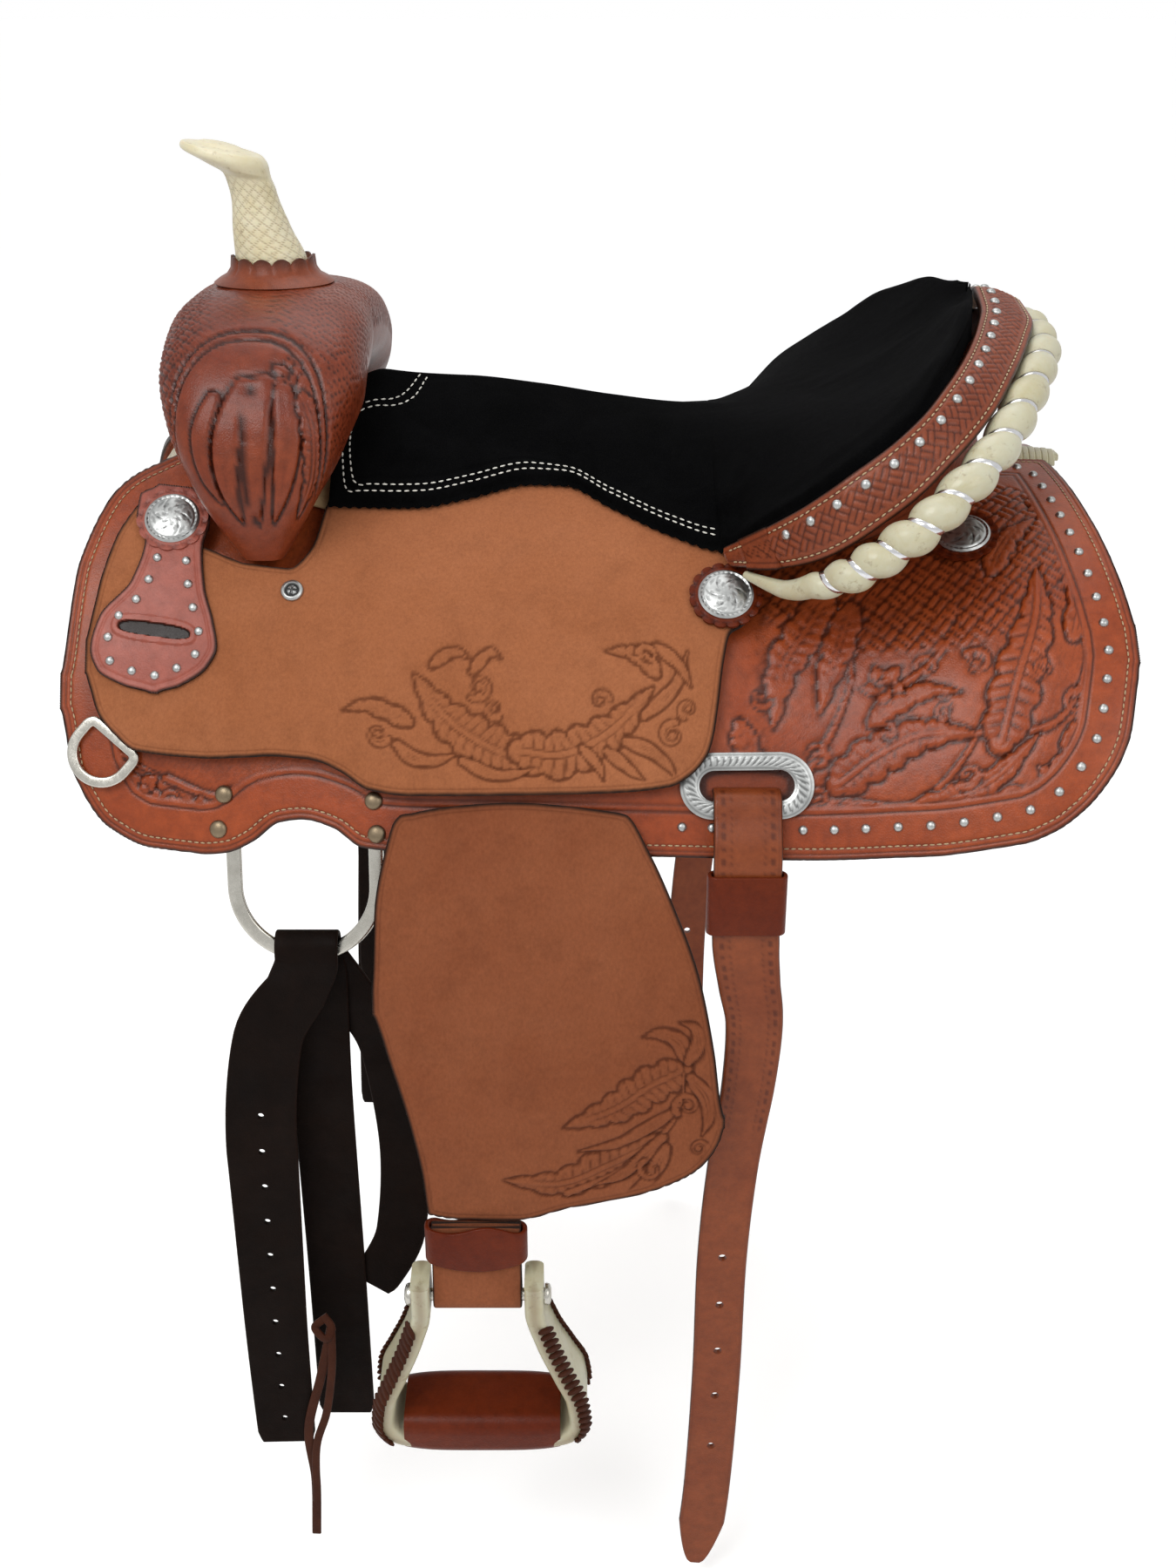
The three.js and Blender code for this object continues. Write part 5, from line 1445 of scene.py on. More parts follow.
def swollen(top):
    """Swells the top of the seat, held at its edges, with the cloth solver; returns how each point moves."""
    rows, columns = top.shape[:2]
    pad = bpy.data.objects.new("pad", mesh_of("pad", Shape(top, [grid_faces(rows, columns)[:, ::-1]])))
    scene = bpy.context.scene
    scene.collection.objects.link(pad)
    held = pad.vertex_groups.new(name="held")
    index = np.arange(rows * columns).reshape(rows, columns)
    edges = [index[:5], index[-3:], index[:, :4], index[:, -4:]]
    held.add([int(i) for i in np.unique(np.concatenate([edge.ravel() for edge in edges]))], 1.0, "REPLACE")
    cloth = pad.modifiers.new("cloth", "CLOTH")
    settings = cloth.settings
    settings.use_pressure = True
    settings.uniform_pressure_force = 4.0
    settings.vertex_group_mass = "held"
    settings.effector_weights.gravity = 0.0
    settings.tension_stiffness = settings.compression_stiffness = 25
    cloth.point_cache.frame_start, cloth.point_cache.frame_end = 1, CLOTH_FRAMES
    for number in range(1, CLOTH_FRAMES + 1):
        scene.frame_set(number)
    done = pad.evaluated_get(bpy.context.evaluated_depsgraph_get()).to_mesh()
    moved = np.array([v.co for v in done.vertices]) * 1000 - top.reshape(-1, 3)
    bpy.data.objects.remove(pad)
    scene.frame_set(1)
    size = np.linalg.norm(moved, axis=1, keepdims=True)
    capped = (moved * np.minimum(1, CLOTH_CAP / np.maximum(size, 1e-9))).reshape(top.shape)
    eased = np.stack([local_mean(capped[..., k], 3) for k in range(3)], -1)
    return 0.25 * capped + 0.75 * eased


def refined(field, rows, columns):
    """A grid of values carried over to a finer grid."""
    a = np.linspace(0, field.shape[0] - 1.001, rows)[:, None]
    b = np.linspace(0, field.shape[1] - 1.001, columns)[None, :]
    return between(field, a, b)


def seat_grid(stations, columns):
    """Plan points of the seat; its lower edge is pinked where it lies on the jockeys."""
    t = np.linspace(0, 1, stations)
    x = -173 + 433.2 * (t + 0.07 * np.sin(math.pi * t) ** 2 * t)
    a = np.linspace(-1, 1, columns)
    w = 0.55 * np.sin(a * math.pi / 2) + 0.45 * a
    half, _ = seat_edge(x)
    rear = fade(84, 96, x)
    pinked = 1.6 * np.abs(np.sin(math.pi * x / 6.5)) * (1 - rear)
    reach = half - 3 + 4.5 * rear
    y = w[None, :] * reach[:, None] + np.sign(w) * (np.abs(w) > 0.985) * pinked[:, None]
    return np.repeat(x[:, None], columns, axis=1), y, w, reach


def seat_surface(x, y):
    """The top of the seat: padded, with a rolled crest at the back."""
    half, _ = seat_edge(x)
    w = np.minimum(1, np.abs(y) / np.maximum(half, 1e-6))
    crest = 5.0 * fade(196, 226, x) * (1 - fade(240, 258, x)) - 6.5 * fade(246, 261, x)
    return seat_height(x, y) + crest * (0.4 + 0.6 * w)


def build_seat():
    stations, columns = 270, 170
    x, y, w, reach = seat_grid(stations, columns)
    height = seat_surface(x, y)
    side = reach[:, None] - np.abs(y)
    edge = np.minimum(side * 1.25, x + 173)
    front = 1 - fade(80, 95, x)
    crease = front * 0.9 * (line_at(edge, 9, 1.4) + line_at(edge, 15, 1.4))
    drop = rounded(edge, 2.6)
    tucked = 7.0 * (1 - fade(0, 8, side)) ** 2 * fade(92, 120, x)
    settle = 1 - fade(246, 258, x)
    lift = (1.2 * fade(0, 6, edge) + 1.2 * fade(16, 34, edge)) * settle - crease - drop - tucked
    top = np.stack([x, y, height], -1) + seat_normal(x, y) * lift[..., None]
    coarse = seat_grid(86, 60)
    flat = np.stack([coarse[0], coarse[1], seat_surface(coarse[0], coarse[1])], -1)
    top = top + refined(swollen(flat), stations, columns)
    thick = 10 + (4.4 - 10) * np.abs(w)[None, :] ** 3
    bottom = np.stack([x, y, height - thick - tucked], -1)
    shape = slab(top, bottom)
    place_piece("seat_cover", shape, "suede", stands_for=["seat_cover"])
    tree = BVHTree.FromPolygons((shape.points / 1000).tolist(), [f for g in shape.faces for f in g.tolist()])
    rows = []
    for plan in seat_rows():
        places = np.stack([plan[:, 0], plan[:, 1], seat_surface(plan[:, 0], plan[:, 1])], -1)
        outs = seat_normal(plan[:, 0], plan[:, 1])
        for k, (place, out) in enumerate(zip(places, outs)):
            hit = tree.ray_cast(((place + out * 25) / 1000).tolist(), (-out).tolist())[0]
            if hit is not None:
                places[k] = np.array(hit) * 1000
        rows.append(stitch_row(places + outs * 0.35, outs, length=3.6, pitch=5.4, width=1.2))
    place_pair("seat_stitches", joined(rows), "white_thread")


# ---------------------------------------------------------------- cantle
BAND_ROWS = (
    (94, 137, -66), (124, 175, -55), (148, 195, -42), (172, 204, -24), (197, 202, -5), (225, 187, 19),
    (250, 160, 39), (269, 125, 56), (287, 80, 70), (298, 40, 78), (299, 0, 83),
)  # x, half width and height along the band's outer edge
ROLL_ROWS = (
    (102, 150, -67, 2.6), (122, 176, -68, 5.5), (146, 198, -58, 9), (171, 209, -43, 12),
    (198, 210, -23, 12.5), (226, 196, -1, 12.5), (253, 168, 20, 12.5), (274, 130, 38, 12.5),
    (293, 83, 52, 12.5), (304, 41, 60, 12.5), (306, 0, 64, 12.5),
)  # x, half width, height and radius along the rawhide roll


def around_cantle(rows):
    """A curve from the near tip at 0, round the back at 1, to the off tip at 2."""
    near = smooth_rows(np.linspace(0, 1, len(rows)), rows)

    def at(t):
        t = np.asarray(t, float)
        values = near(np.where(t <= 1, t, 2 - t))
        values[..., 1] = np.where(t <= 1, -values[..., 1], values[..., 1])
        return values

    return at


rim_at, band_at, roll_at = (around_cantle(rows) for rows in (RIM_ROWS, BAND_ROWS, ROLL_ROWS))


def band_frame(t):
    inner, outer = rim_at(t), band_at(t)
    along = rim_at(np.minimum(t + 0.01, 2)) - rim_at(np.maximum(t - 0.01, 0))
    across = outer - inner
    up = unit(np.cross(along, across))
    return inner, across, up * np.sign(up[..., 2:])


def band_points(t, w, lift):
    inner, across, up = band_frame(t)
    rise = 3 * np.sin(math.pi * w) + lift
    return inner + across * w[..., None] + up * rise[..., None], up


def build_cantle():
    """The binding with its stitching and spots, then the roll and the back of the cantle."""
    t = np.linspace(0, 2, 700)
    w = np.linspace(0.1, 1, 46)
    tt, ww = np.meshgrid(t, w, indexing="ij")
    width = np.linalg.norm(band_frame(t)[1], axis=1)[:, None]
    run = arc_lengths(band_points(t, np.full_like(t, 0.55), np.zeros_like(t))[0])[:, None]
    d = ww * width
    edge = np.minimum(np.minimum(d - 0.1 * width, width - d), 500 * np.minimum(tt, 2 - tt))
    body = fade(6, 9, edge) * fade(0.02, 0.06, np.minimum(tt, 2 - tt))
    relief = basket(run + 0 * d, d, 9.0, 0.8, 0.5) * body - 0.5 * line_at(edge, 4.5, 1.0)
    top, _ = band_points(tt, ww, relief - rounded(edge, 1.8))
    bottom, _ = band_points(tt, ww, np.full_like(tt, -4.0))
    marks = {"recess": hollows(relief, 3, 0.5), "edge": 1 - fade(0.3, 2.2, edge)}
    place_piece("cantle_binding", slab(top, bottom, marks), "band", stands_for=["cantle_binding"])
    rows = []
    along = np.linspace(0.03, 1.97, 700)
    breadth = np.linalg.norm(band_frame(along)[1], axis=1)
    for place in (0.1 + 4.5 / breadth, 1 - 4.5 / breadth):
        points, ups = band_points(along, place, np.full_like(along, 0.1))
        rows.append(stitch_row(points, ups, length=3.4, pitch=4.8, width=1.1))
    place_piece("cantle_stitches", joined(rows), "cream_thread")
    points, ups = band_points(along, 0.1 + 10.5 / breadth, np.full_like(along, 0.0))
    both = every(np.hstack([points, ups]), 21.0)[1:-1]
    out = unit(both[:, 3:])
    ahead = unit(np.gradient(both[:, :3], axis=0))
    axes = np.stack([ahead, np.cross(out, ahead), out], axis=1)
    place_piece("cantle_studs", scatter(dome_template(3.3, 2.5, 16, 5), both[:, :3], axes), "silver")
    build_roll()
    build_back()


def roll_axes(t):
    """The roll's centre line, radius, and outward and upward directions."""
    rows = roll_at(t)
    along = unit(np.gradient(rows[:, :3], axis=0))
    out = unit(np.cross(along, (0.0, 0.0, 1.0)))
    return rows[:, :3], rows[:, 3], out, np.cross(out, along)


def build_roll():
    """The rawhide roll in bulges, and the bright lacing that lies in its grooves."""
    bulges = 25
    t = np.linspace(0, 2, 900)
    centre, radius, out, up = roll_axes(t)
    angle = np.linspace(0, 2 * math.pi, 44, endpoint=False)
    turns = np.interp(t, (0, 0.17, 1.83, 2), (0, 0.25, bulges - 0.25, bulges))
    phase = turns[:, None] + angle[None, :] / (2 * math.pi)
    strength = fade(0.14, 0.2, t) * fade(0.14, 0.2, 2 - t)
    swell = 1 + strength[:, None] * (-0.30 + 0.40 * np.abs(np.sin(math.pi * phase)) ** 0.7)
    wide, tall = (radius[:, None] * swell * turn for turn in (np.cos(angle), np.sin(angle)))
    rings = centre[:, None] + out[:, None] * wide[..., None] + up[:, None] * tall[..., None]
    groove = np.clip(1 - np.abs(np.sin(math.pi * phase)) / 0.22, 0, 1) * strength[:, None]
    place_piece("cantle_roll", loft(rings, {"recess": 0.8 * groove}), "rawhide", stands_for=["cantle_roll"])
    fine = np.linspace(0.17, 1.83, 3000)
    turn = -2 * math.pi * np.interp(fine, (0.17, 1.83), (0.25, bulges - 0.25))
    centre, radius, out, up = roll_axes(fine)
    radial = out * np.cos(turn)[:, None] + up * np.sin(turn)[:, None]
    path = centre + radial * (radius[:, None] * 0.73 + 0.5)
    place_piece("cantle_lacing", sweep(path, radial, section(4.8, 1.4, steps=1)), "bright")


def height_over(x, y, h):
    s = np.arange(0, 400.0, 1.0)
    result = np.zeros_like(x)
    for i, (a, b) in enumerate(zip(x, y)):
        line = base.at(np.full_like(s, a), s, h)
        result[i] = np.interp(abs(b), -line[:, 1], line[:, 2])
    return result


def build_back():
    """The leather that closes the cantle behind, down to the skirts."""
    t = np.linspace(0.36, 1.64, 200)
    inner, across, up = band_frame(t)
    head = inner + across * 0.5 + up * -10
    turn = (math.pi / 2) * ((t - 1) / 0.64)
    foot = np.stack([150 + 124 * np.cos(turn), 112 * np.sin(turn), np.zeros_like(t)], 1)
    foot[:, 2] = height_over(foot[:, 0], foot[:, 1], 8.0)
    out = np.stack([np.cos(turn), np.sin(turn), np.zeros_like(turn)], 1)
    w = np.linspace(0, 1, 50)
    run = arc_lengths(head + (foot - head) * 0.5)
    tall = np.linalg.norm(foot - head, axis=1)
    a, b = np.meshgrid(run, w, indexing="ij")
    down = b * tall[:, None]
    edge = np.minimum(np.minimum(a, run[-1] - a), tall[:, None] - down)
    woven = basket(a, down, 9.0, 0.78, 0.5) * fade(10, 13, edge)
    relief = woven - 0.5 * line_at(edge, 8, 1.0)
    hollow = -10 * np.sin(math.pi * w)
    middle = head[:, None] + (foot - head)[:, None] * w[None, :, None]
    top = middle + out[:, None] * (hollow + 3.5 + relief)[..., None]
    low = middle + out[:, None] * np.broadcast_to(hollow, relief.shape)[..., None]
    marks = {"recess": np.clip(-relief / 0.8, 0, 1), "edge": 1 - fade(0.5, 3, edge)}
    place_piece("cantle_back", slab(top, low, marks), "band", stands_for=["cantle_back"])


# ---------------------------------------------------------------- rigging hardware
def dee_shape(width, drop, bar, thick):
    r = width / 2 - bar / 2
    low = -(drop - width / 2)
    angle = np.linspace(math.pi, 2 * math.pi, 40)
    bend = 5.0
    corners = [np.linspace(math.pi / 2, math.pi, 8), np.linspace(0, math.pi / 2, 8)]
    left = np.stack([-r + bend + bend * np.cos(corners[0]), -bend + bend * np.sin(corners[0])], 1)
    right = np.stack([r - bend + bend * np.cos(corners[1]), -bend + bend * np.sin(corners[1])], 1)
    bow = np.stack([r * np.cos(angle), low + r * np.sin(angle)], 1)
    path = every(np.vstack([left, bow, right, left[:1]]), 2.0)[:-1]
    path = np.hstack([path, np.zeros((len(path), 1))])
    facing = np.tile((0.0, 0.0, 1.0), (len(path), 1))
    return sweep(path, facing, section(bar, thick, thick * 0.42, 4), closed=True)


def turned_frame(x, s, h, turn):
    """Axes and origin at a place h above the base surface, turned by degrees about the way out."""
    along = unit(base.at(x + 18, s, h) - base.at(x - 18, s, h))
    down = unit(base.at(x, s + 18, h) - base.at(x, s - 18, h))
    out = unit(np.cross(down, along))
    up = np.cross(out, along)
    c, n = math.cos(math.radians(-turn)), math.sin(math.radians(-turn))
    return np.stack([c * along + n * up, c * up - n * along, out]), base.at(x, s, h)


def dee_frame():
    """Axes and origin of the near rigging dee, whose top bar is the first axis; it hangs down the second."""
    hang = math.radians(78)
    axes = np.array(((1, 0, 0), (0, math.cos(hang), math.sin(hang)), (0, -math.sin(hang), math.cos(hang))))
    return axes, base.at(-187, 298, -13)


def build_dees():
    """The rigging dees and breast-collar dees, and the leather tabs of the rigging dees."""
    for name, shape, place in (
        ("rigging_dee", dee_shape(104, 109, 10, 4.5), dee_frame()),
        ("breast_dee", dee_shape(46, 36, 7, 3.6), turned_frame(-309, 268, 8.4, 38.5)),
    ):
        place_pair(name, shape.moved(*place), "nickel", body=name, stands_for=[name])
    tabs = []
    loop = [(26, 2.4), (10, 6.0), (0, 8.0), (-7.5, 4), (-7.5, -3), (2, -7.2), (12, -5.4), (26, -1.2)]
    for x in (-26, 26):
        path = spline([(x, y, z) for y, z in loop], 40)
        face = unit(np.cross((1.0, 0.0, 0.0), np.gradient(path, axis=0)))
        tabs.append(sweep(path, face, section(22, 2.4)).moved(*dee_frame()))
    place_pair("rigging_tabs", joined(tabs), "strap")


# ---------------------------------------------------------------- straps
def strap_marks(shape, rings, outline, width):
    across = np.abs(outline[:, 0]) / (width / 2)
    mark = np.tile(fade(0.93, 1.0, across), rings)
    shape.marks["edge"] = np.concatenate([mark, [1, 1]])
    return shape


def dee_bar():
    axes, origin = dee_frame()
    return np.array(DEE_BAR) @ axes + origin


def hanging(rows, width, broad=None):
    """A strap through rows of (x, drop, out) from the dee's lower bar; also returns its path."""
    bar = dee_bar()
    curve = smooth_rows(range(len(rows)), rows)
    t = np.linspace(0, len(rows) - 1, 10 * (len(rows) - 1) + 1)
    x, drop, out = curve(t).T
    path = np.stack([bar[0] + x, bar[1] - out, bar[2] - drop], 1)
    along = np.vstack([path[1:], path[-1:]]) - np.vstack([path[:1], path[:-1]])
    facing = unit(np.stack([0 * x, along[:, 2], -along[:, 1]], 1))
    lengths = arc_lengths(path)
    end = np.minimum(lengths, lengths[-1] - lengths)
    outline = flat_section(width, STRAP_THICK)
    shrink = 1 - 0.12 * (1 - fade(0, 6, end))
    if broad is not None:
        shrink = shrink * np.interp(t, np.arange(len(broad)), broad) / width
    outlines = outline[None] * np.stack([shrink, np.ones_like(shrink)], 1)[:, None]
    return strap_marks(sweep(path, facing, outlines), len(path), outline, width), path


def flat_section(width, thick, face=5):
    """A strap's cross-section with extra points along its broad faces."""
    corner = thick * 0.42
    rim = section(width, thick, corner, 4)
    xs = np.linspace(1, -1, face + 2)[1:-1] * (width / 2 - corner)
    upper = np.stack([xs, np.full(face, thick / 2)], 1)
    quarter = len(rim) // 4
    return np.vstack([rim[:quarter], upper, rim[quarter : 3 * quarter], -upper, rim[3 * quarter :]])


def punched(shape, holes, radius, name):
    """The strap with round holes cut through it, as a finished mesh."""
    mesh = mesh_of(name, shape)
    write_marks(mesh, shape.marks)
    strap = bpy.data.objects.new(name, mesh)
    axes = np.array(((1.0, 0, 0), (0, 0, 1.0), (0, 1.0, 0)))
    drill = lathe([(radius, -14), (radius, 14)], 16)
    drills = joined([drill.moved(axes, hole).outward() for hole in holes])
    cutter = bpy.data.objects.new("drill", mesh_of("drill", drills))
    for thing in (strap, cutter):
        bpy.context.scene.collection.objects.link(thing)
    cut = strap.modifiers.new("holes", "BOOLEAN")
    cut.object, cut.operation, cut.solver = cutter, "DIFFERENCE", "EXACT"
    done = bpy.data.meshes.new_from_object(strap.evaluated_get(bpy.context.evaluated_depsgraph_get()))
    points = np.array([v.co for v in done.vertices]) * 1000
    marks = {}
    for key in shape.marks:
        values = np.zeros(len(points), np.float32)
        if key in done.attributes and len(done.attributes[key].data) == len(points):
            done.attributes[key].data.foreach_get("value", values)
        marks[key] = values
    polygons = [tuple(p.vertices) for p in done.polygons]
    for thing in (strap, cutter):
        bpy.data.objects.remove(thing)
    faces = [np.array([p for p in polygons if len(p) == size]) for size in sorted({len(p) for p in polygons})]
    return Shape(points, faces, marks)


def tail(points, width=7.0, thick=2.4):
    path = spline(points, 60)
    along = unit(np.gradient(path, axis=0))
    side = unit(np.cross(along, (0.0, -1.0, 0.0)))
    return sweep(path, unit(np.cross(side, along)), section(width, thick))


def holes_down(path, drops):
    """Places on a strap's front run at these drops below the dee's lower bar."""
    run = path[::-1]
    fallen = dee_bar()[2] - run[:, 2]
    return np.stack([np.interp(drops, fallen, run[:, k]) for k in range(3)], axis=1)


def build_latigos():
    """The near latigo with its free loop and thong, and the off billet."""
    reach = 8 + STRAP_THICK / 2
    fold = [(0, 0, reach), (0, -10, reach * 0.85), (0, -16, 0), (0, -10, -reach * 0.85), (0, 0, -reach)]
    front = [(-38, 402, 26), (-40, 280, 20), (-40, 150, 14), (-30, 60, 10), (-8, 22, 8)]
    rear = [(3, 22, -8), (1, 120, -9), (2, 300, -10), (2, 408, -10)]
    widths = np.interp(np.arange(14), (0, 1, 2, 3, 4, 5), (42, 46, 50, 47, 42, 42))
    main, path = hanging([*front, *fold, *rear], STRAP_WIDTH, broad=widths)
    main = punched(main, holes_down(path[:45], np.linspace(120, 380, 10)), 2.4, "latigo_main")
    free = [(6, 6, -9), (22, 34, -11), (46, 80, -13), (56, 170, -14), (50, 240, -14), (26, 288, -14)]
    loop, _ = hanging(free, 36)
    place_piece("latigo", joined([main, loop]), "latigo", "latigo", ["latigo"], sharp=40)
    knot = (
        (-192, -236, -598), (-186, -240, -606), (-190, -243, -614), (-198, -239, -607), (-191, -236, -601),
    )
    long = (
        (-186, -240, -606), (-196, -243, -650), (-208, -243, -700), (-206, -242, -750), (-209, -241, -806),
    )
    short = (
        (-186, -241, -608), (-187, -245, -640), (-193, -246, -680), (-203, -245, -716), (-206, -244, -770),
    )
    thong = joined([tail(knot, 6, 3), tail(long), tail(short, 6)])
    place_piece("latigo_thong", thong, "lace", "latigo")
    front = [(-18, 420, 14), (-12, 250, 12), (-3, 90, 9), (0, 24, 8)]
    rear = [(0, 24, -8), (-3, 120, -8), (-8, 260, -8)]
    billet, path = hanging([*front, *fold, *rear], STRAP_WIDTH)
    holes = holes_down(path[:35], np.linspace(170, 390, 8))
    billet = punched(billet, holes, 2.8, "off_billet_main").mirrored()
    place_piece("off_billet", billet, "latigo", "off_billet", ["off_billet"], sharp=40)


BILLET_Y = -240  # the near rear billet hangs in this plane


def build_rear_billets():
    """The tooled billets that leave through the slot plates and hang down behind the fenders."""
    tongue = base.at(np.full(4, 102.0), np.array((286, 287, 292, 304.0)), np.array((0.8, 6, 13.8, 14.8)))
    upper = ((102, -228), (102.5, -285), (106, -318), (110.5, -350), (108, -400))
    lower = ((100, -465), (95, -545), (94, -650), (90, -760), (83, -836))
    path = spline(np.vstack([tongue, [(x, BILLET_Y, z) for x, z in upper + lower]]), 300)
    along = unit(np.gradient(path, axis=0))
    facing = unit(np.stack([0 * along[:, 0], along[:, 2], -along[:, 1]], 1))
    width = np.interp(path[:, 2], (-836, -420, -345, -290, 0), (35, 35.5, 38.5, 44, 44))
    to_tip = arc_lengths(path[::-1])[::-1]
    width = width * (0.22 + 0.78 * np.clip(to_tip / 42, 0, 1) ** 0.55)
    outline = flat_section(40, 5.0, 25) / (40, 1)
    outlines = outline[None] * np.stack([width, np.ones_like(width)], 1)[:, None]
    shape = sweep(path, facing, outlines)
    across = np.abs(outline[:, 0]) * 2
    run = arc_lengths(path)[:, None]
    upper = 1 - fade(0, 14, -path[:, 2:] - 425)
    dots = (np.sin(run * 2 * math.pi / 7.5) > 0.1) * line_at(across, 0.72, 0.055) * upper
    beads = (np.sin(run * 2 * math.pi / 5.0) > 0.0) * line_at(across, 0.5, 0.04) * upper
    crease = 0.35 * line_at(across, 0.88, 0.03)
    recess = np.clip(dots + 0.6 * beads + crease, 0, 1)
    edge = np.tile(fade(0.95, 1.0, across), (len(path), 1))
    shape.marks = {"recess": np.append(recess.ravel(), [0, 0]), "edge": np.append(edge.ravel(), [1, 1])}
    holes = [path[np.argmin(np.abs(path[:, 2] - z))] for z in (-541, -583, -626, -668, -717)]
    billet = punched(shape, holes, 3.0, "billet_main")
    place_pair("rear_billet", billet, "strap", "rear_billet", ["rear_billet"], sharp=40)


NECK_WIDTH = 61
LOOP_SIDES = 120


def level(height):
    """A loop's edge at one height all round."""

    def edge(x):
        return height

    return edge


def band_loop(width, depth, thick, top, foot):
    """A leather loop round a flat core, from its foot to its top, each a height that depends on x."""
    core = section(width, depth, depth / 2 * 0.85, 8)
    outline = every(np.vstack([core, core[:1]]), 0.5)[:-1]
    outline = resample(np.vstack([outline, outline[:1]]), LOOP_SIDES + 1)[:-1]
    ahead = np.roll(outline, -1, 0) - np.roll(outline, 1, 0)
    normal = unit(np.stack([ahead[:, 1], -ahead[:, 0]], 1))
    rings = []
    for place, away in zip(outline, normal):
        high, low = top(place[0]), foot(place[0])
        wall = section(high - low, thick, thick * 0.4, 3)
        middle = (high + low) / 2
        rings.append([(*(place + away * (thick / 2 + d)), middle + r) for r, d in wall])
    return loft(np.array(rings), closed=True)


def build_fender_strap():
    """The hobble strap and stirrup neck under each fender, and the keeper on each billet."""
    def wave(x):
        return 2.4 * math.sin(x * 0.13 + 0.6)

    def smile(x):
        return 9 * (x / 36) ** 2 - 34

    hobble = band_loop(63.4, 11, 3.2, wave, smile)
    hobble.points += (*STIRRUP_BOLT[:2], -485.5)
    place_pair("hobble_strap", hobble, "brown", body="fender", stands_for=["hobble_strap"])
    bolt, top = STIRRUP_BOLT[2], -486.0
    angle = np.linspace(math.pi, 2 * math.pi, 16)
    left = [(-2.5, z) for z in np.linspace(top, bolt + 30, 8)] + [(-4.4, bolt + 16)]
    arc = list(zip(7.4 * np.cos(angle), bolt + 7.4 * np.sin(angle)))
    right = [(4.4, bolt + 16)] + [(2.5, z) for z in np.linspace(bolt + 30, top, 8)]
    path = every(np.array([(STIRRUP_BOLT[0], STIRRUP_BOLT[1] + y, z) for y, z in left + arc + right]), 2.0)
    along = unit(np.gradient(path, axis=0))
    facing = unit(np.cross((1.0, 0.0, 0.0), along))
    outline = flat_section(NECK_WIDTH, 3.8, 9)
    neck = strap_marks(sweep(path, facing, outline), len(path), outline, NECK_WIDTH)
    place_pair("stirrup_neck", neck, "fender", body="fender", stands_for=["stirrup_neck"])
    keeper = band_loop(46, 7.4, 2.8, level(0), level(-42))
    keeper.points += (102, BILLET_Y, -238)
    place_pair("billet_keeper", keeper, "brown", body="billet_keeper", stands_for=["billet_keeper"])


# ---------------------------------------------------------------- stirrups
BOW = smooth_rows(
    range(9),
    (
        (39, 18, 28), (39, -6, 30), (46, -36, 34), (58, -68, 42), (67, -92, 48), (69, -112, 50),
        (61, -127, 50), (44, -131, 50), (0, -131, 50),
    ),
)  # x, z and depth along the near half of the stirrup's bow


def to_stirrup(shape):
    """The shape, drawn about the stirrup's bolt, at the stirrup's tilt and place."""
    tilt = math.radians(9)
    turn = np.array(((1, 0, 0), (0, math.cos(tilt), -math.sin(tilt)), (0, math.sin(tilt), math.cos(tilt))))
    return shape.moved(turn.T, STIRRUP_BOLT)


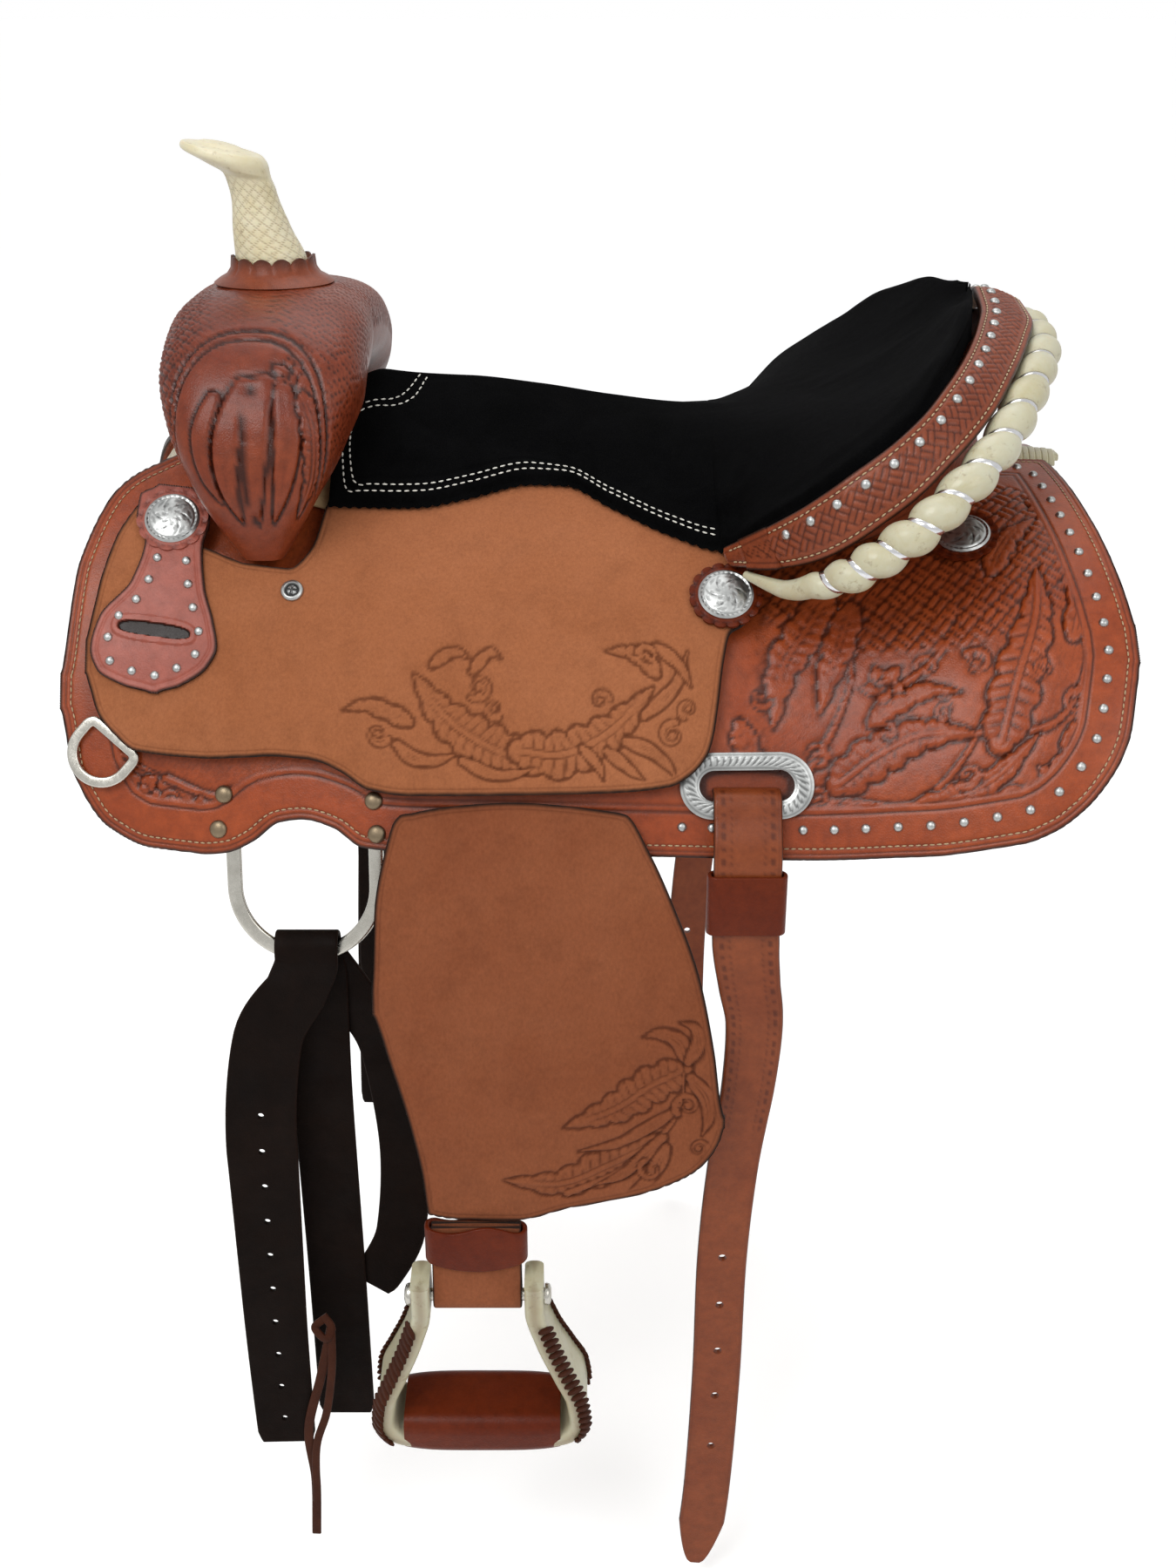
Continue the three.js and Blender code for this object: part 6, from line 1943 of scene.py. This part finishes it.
def build_stirrups():
    """The stirrup bow with its lacing, the covered tread, and the bolt with its two nuts."""
    t = np.linspace(0, 16, 260)
    x, z, depth = BOW(np.where(t <= 8, t, 16 - t)).T
    path = np.stack([np.where(t <= 8, -x, x), 0 * x, z], 1)
    along = unit(np.gradient(path, axis=0))
    facing = np.stack([along[:, 2], 0 * x, -along[:, 0]], 1)
    unitless = flat_section(44, 13.0, 7) / (44, 1)
    shaped = unitless[None] * np.stack([depth, np.ones_like(depth)], 1)[:, None]
    bow = sweep(path, facing, shaped)
    across = np.abs(unitless[:, 0]) * 2
    bow.marks = {"edge": np.append(np.tile(0.5 * fade(0.96, 1, across), len(t)), [0, 0])}
    place_pair("stirrup_frame", to_stirrup(bow), "rawhide", body="stirrup", stands_for=["stirrup_frame"])
    lacing = []
    for edge in (-1, 1):
        for start, end in ((1.5, 5.7), (10.3, 14.5)):
            part = (t >= start) & (t <= end)
            side = np.array((0, edge, 0))
            line = path[part] + facing[part] * 5.4 + side * (depth[part] / 2 - 1.4)[:, None]
            both = every(np.hstack([line, facing[part], along[part]]), 6.0)
            heading, face = unit(both[:, 6:]), unit(both[:, 3:6])
            out = unit(face + side * 0.9)
            slant = unit(np.cross(heading, out) * edge + heading * 0.6)
            axes = np.stack([slant, unit(np.cross(out, slant)), out], axis=1)
            lacing.append(scatter(stitch_template(15, 5.6), both[:, :3], axes))
    place_pair("stirrup_lacing", to_stirrup(joined(lacing)), "lace", body="stirrup")
    span = np.linspace(-56, 56, 40)
    belly = 1 - 0.10 * np.abs(span / 56) ** 4
    outlines = section(54, 36, 12, 10) * belly[:, None, None]
    line = np.stack([span, 0 * span, np.full_like(span, -124.5)], 1)
    tread = sweep(line, np.tile((0.0, 0.0, 1.0), (len(span), 1)), outlines)
    place_pair("stirrup_tread", to_stirrup(tread), "brown", body="stirrup", stands_for=["stirrup_tread"])
    line = np.stack([span, np.full_like(span, 22.4), np.full_like(span, -139.4)], 1)
    outs = np.tile(unit((0.0, 0.6, -0.8)), (len(span), 1))
    stitches = stitch_row(line[4:-4], outs[4:-4])
    place_pair("tread_stitches", to_stirrup(stitches), "cream_thread", body="stirrup")
    head = [(1.2, -50.8), (4.5, -50.6), (7.0, -49.6), (7.6, -48), (7.5, -46.3), (4.4, -46.2)]
    profile = head + [(4.4, 0.0)] + [(r, -z) for r, z in head[::-1]]
    axes = np.array(((0, 1.0, 0), (0, 0, 1.0), (1.0, 0, 0)))
    bolt = lathe(profile, 32, axis_frame=axes)
    place_pair("stirrup_bolt", to_stirrup(bolt), "nickel", body="stirrup", stands_for=["stirrup_bolt"])


# ---------------------------------------------------------------- slot plate
def stadium(width, height, count):
    r = height / 2
    straight = width / 2 - r
    a = np.linspace(-math.pi / 2, math.pi / 2, 40)
    right = np.stack([straight + r * np.cos(a), r * np.sin(a)], 1)
    loop = np.vstack([right, -right, right[:1]])
    return resample(loop, count + 1)[:-1]


def build_slot_plate():
    """The engraved oval plate round the slot for the rear billet."""
    count, rows = 180, 16
    outer = stadium(SLOT["width"], SLOT["height"], count)
    inner = stadium(*SLOT["opening"], count)
    w = np.linspace(0, 1, rows)[:, None, None]
    flat = inner * (1 - w) + outer * w
    v = np.linspace(0, 1, rows)[:, None]
    around = np.linspace(0, 2 * math.pi, count, endpoint=False)[None, :]
    bright = np.sin(44 * around + 5 * np.sin(math.pi * v)) * np.sin(math.pi * v) > 0.3
    leaf = bright * fade(0.2, 0.3, v) * (1 - fade(0.72, 0.82, v))
    line = line_at(v, 0.88, 0.04) + line_at(v, 0.12, 0.04)
    height = 1.2 + 1.2 * np.sin(math.pi * v) ** 0.6 - 0.2 * leaf - 0.3 * line + 0 * around
    top = np.concatenate([flat, height[..., None]], -1)
    low = np.concatenate([flat, np.zeros((rows, count, 1))], -1)
    rings = np.concatenate([top, low[::-1]]).transpose(1, 0, 2)
    plate = loft(rings, {"recess": np.concatenate([leaf * 0.7 + line * 0.6, 0 * leaf]).T}, closed=True)
    plate = placed(plate, SLOT["x"], SLOT["s"], 7.7, reach=40)
    place_pair("rear_slot_plate", plate, "silver", stands_for=["rear_slot_plate"])


build_skirts()
build_jockeys()
build_flap()
build_hardware()
build_swell()
build_horn()
build_seat()
build_cantle()
build_dees()
build_latigos()
build_rear_billets()
build_fender_strap()
build_stirrups()
build_slot_plate()

# ---------------------------------------------------------------- the hidden parts of the frame
INSIDE = {"tree": "wood", "horn_core": "steel", "ground_seat": "raw", "stirrup_leather": "raw"}
for name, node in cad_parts.items():
    for start, look in INSIDE.items():
        if name.startswith(start):
            node.data.materials.clear()
            node.data.materials.append(LOOK[look])

# ---------------------------------------------------------------- floor, light and camera
FLOOR_GAP = 0.02  # the paper lies this far under the saddle, in metres
PAPER_GLOW = 0.32  # light that only the camera sees, so that the paper is white
SKY_LIGHT, SKY_SEEN = 0.72, 1.0  # the studio's strength on the saddle, and as the camera sees it

bpy.ops.mesh.primitive_plane_add(size=400, location=(0, 0, CAD_BOX[0][2] - FLOOR_GAP))
floor = bpy.context.object
paper = Paint("paper")
glow = paper.math("MULTIPLY", paper.add("ShaderNodeLightPath").outputs["Is Camera Ray"], PAPER_GLOW)
floor.data.materials.append(paper.finish(
    Base_Color=(0.95, 0.95, 0.95), Roughness=0.9, Emission_Color=(1, 1, 1), Emission_Strength=glow
))

world = bpy.data.worlds.new("studio")
world.use_nodes = True
tree = world.node_tree
background = tree.nodes["Background"]
background.inputs["Color"].default_value = (1, 1, 1, 1)
sky = tree.nodes.new("ShaderNodeMapRange")
sky.inputs["To Min"].default_value, sky.inputs["To Max"].default_value = SKY_LIGHT, SKY_SEEN
tree.links.new(tree.nodes.new("ShaderNodeLightPath").outputs["Is Camera Ray"], sky.inputs["Value"])
tree.links.new(sky.outputs["Result"], background.inputs["Strength"])
bpy.context.scene.world = world

for place, size, power, spin in (
    ((-0.9, -1.6, 1.6), 1.2, 26, (48, 0, -28)),
    ((1.2, -1.5, 1.0), 1.2, 8, (60, 0, 40)),
    ((0.0, 0.6, 1.9), 1.6, 12, (-15, 0, 0)),
):
    lamp = bpy.data.lights.new("softbox", "AREA")
    lamp.shape, lamp.size, lamp.energy = "SQUARE", size, power
    holder = bpy.data.objects.new("softbox", lamp)
    holder.location = place
    holder.rotation_euler = [math.radians(a) for a in spin]
    bpy.context.scene.collection.objects.link(holder)

camera_data = bpy.data.cameras.new("camera")
camera_data.lens, camera_data.sensor_width, camera_data.sensor_height = 40.06, 27, 36
camera_data.sensor_fit = "VERTICAL"
camera = bpy.data.objects.new("camera", camera_data)
camera.location = (0, -1.235, 0.2681)
camera.rotation_euler = (math.radians(66), 0, 0)
bpy.context.scene.collection.objects.link(camera)
bpy.context.scene.camera = camera
bpy.context.scene.view_settings.view_transform = "Standard"
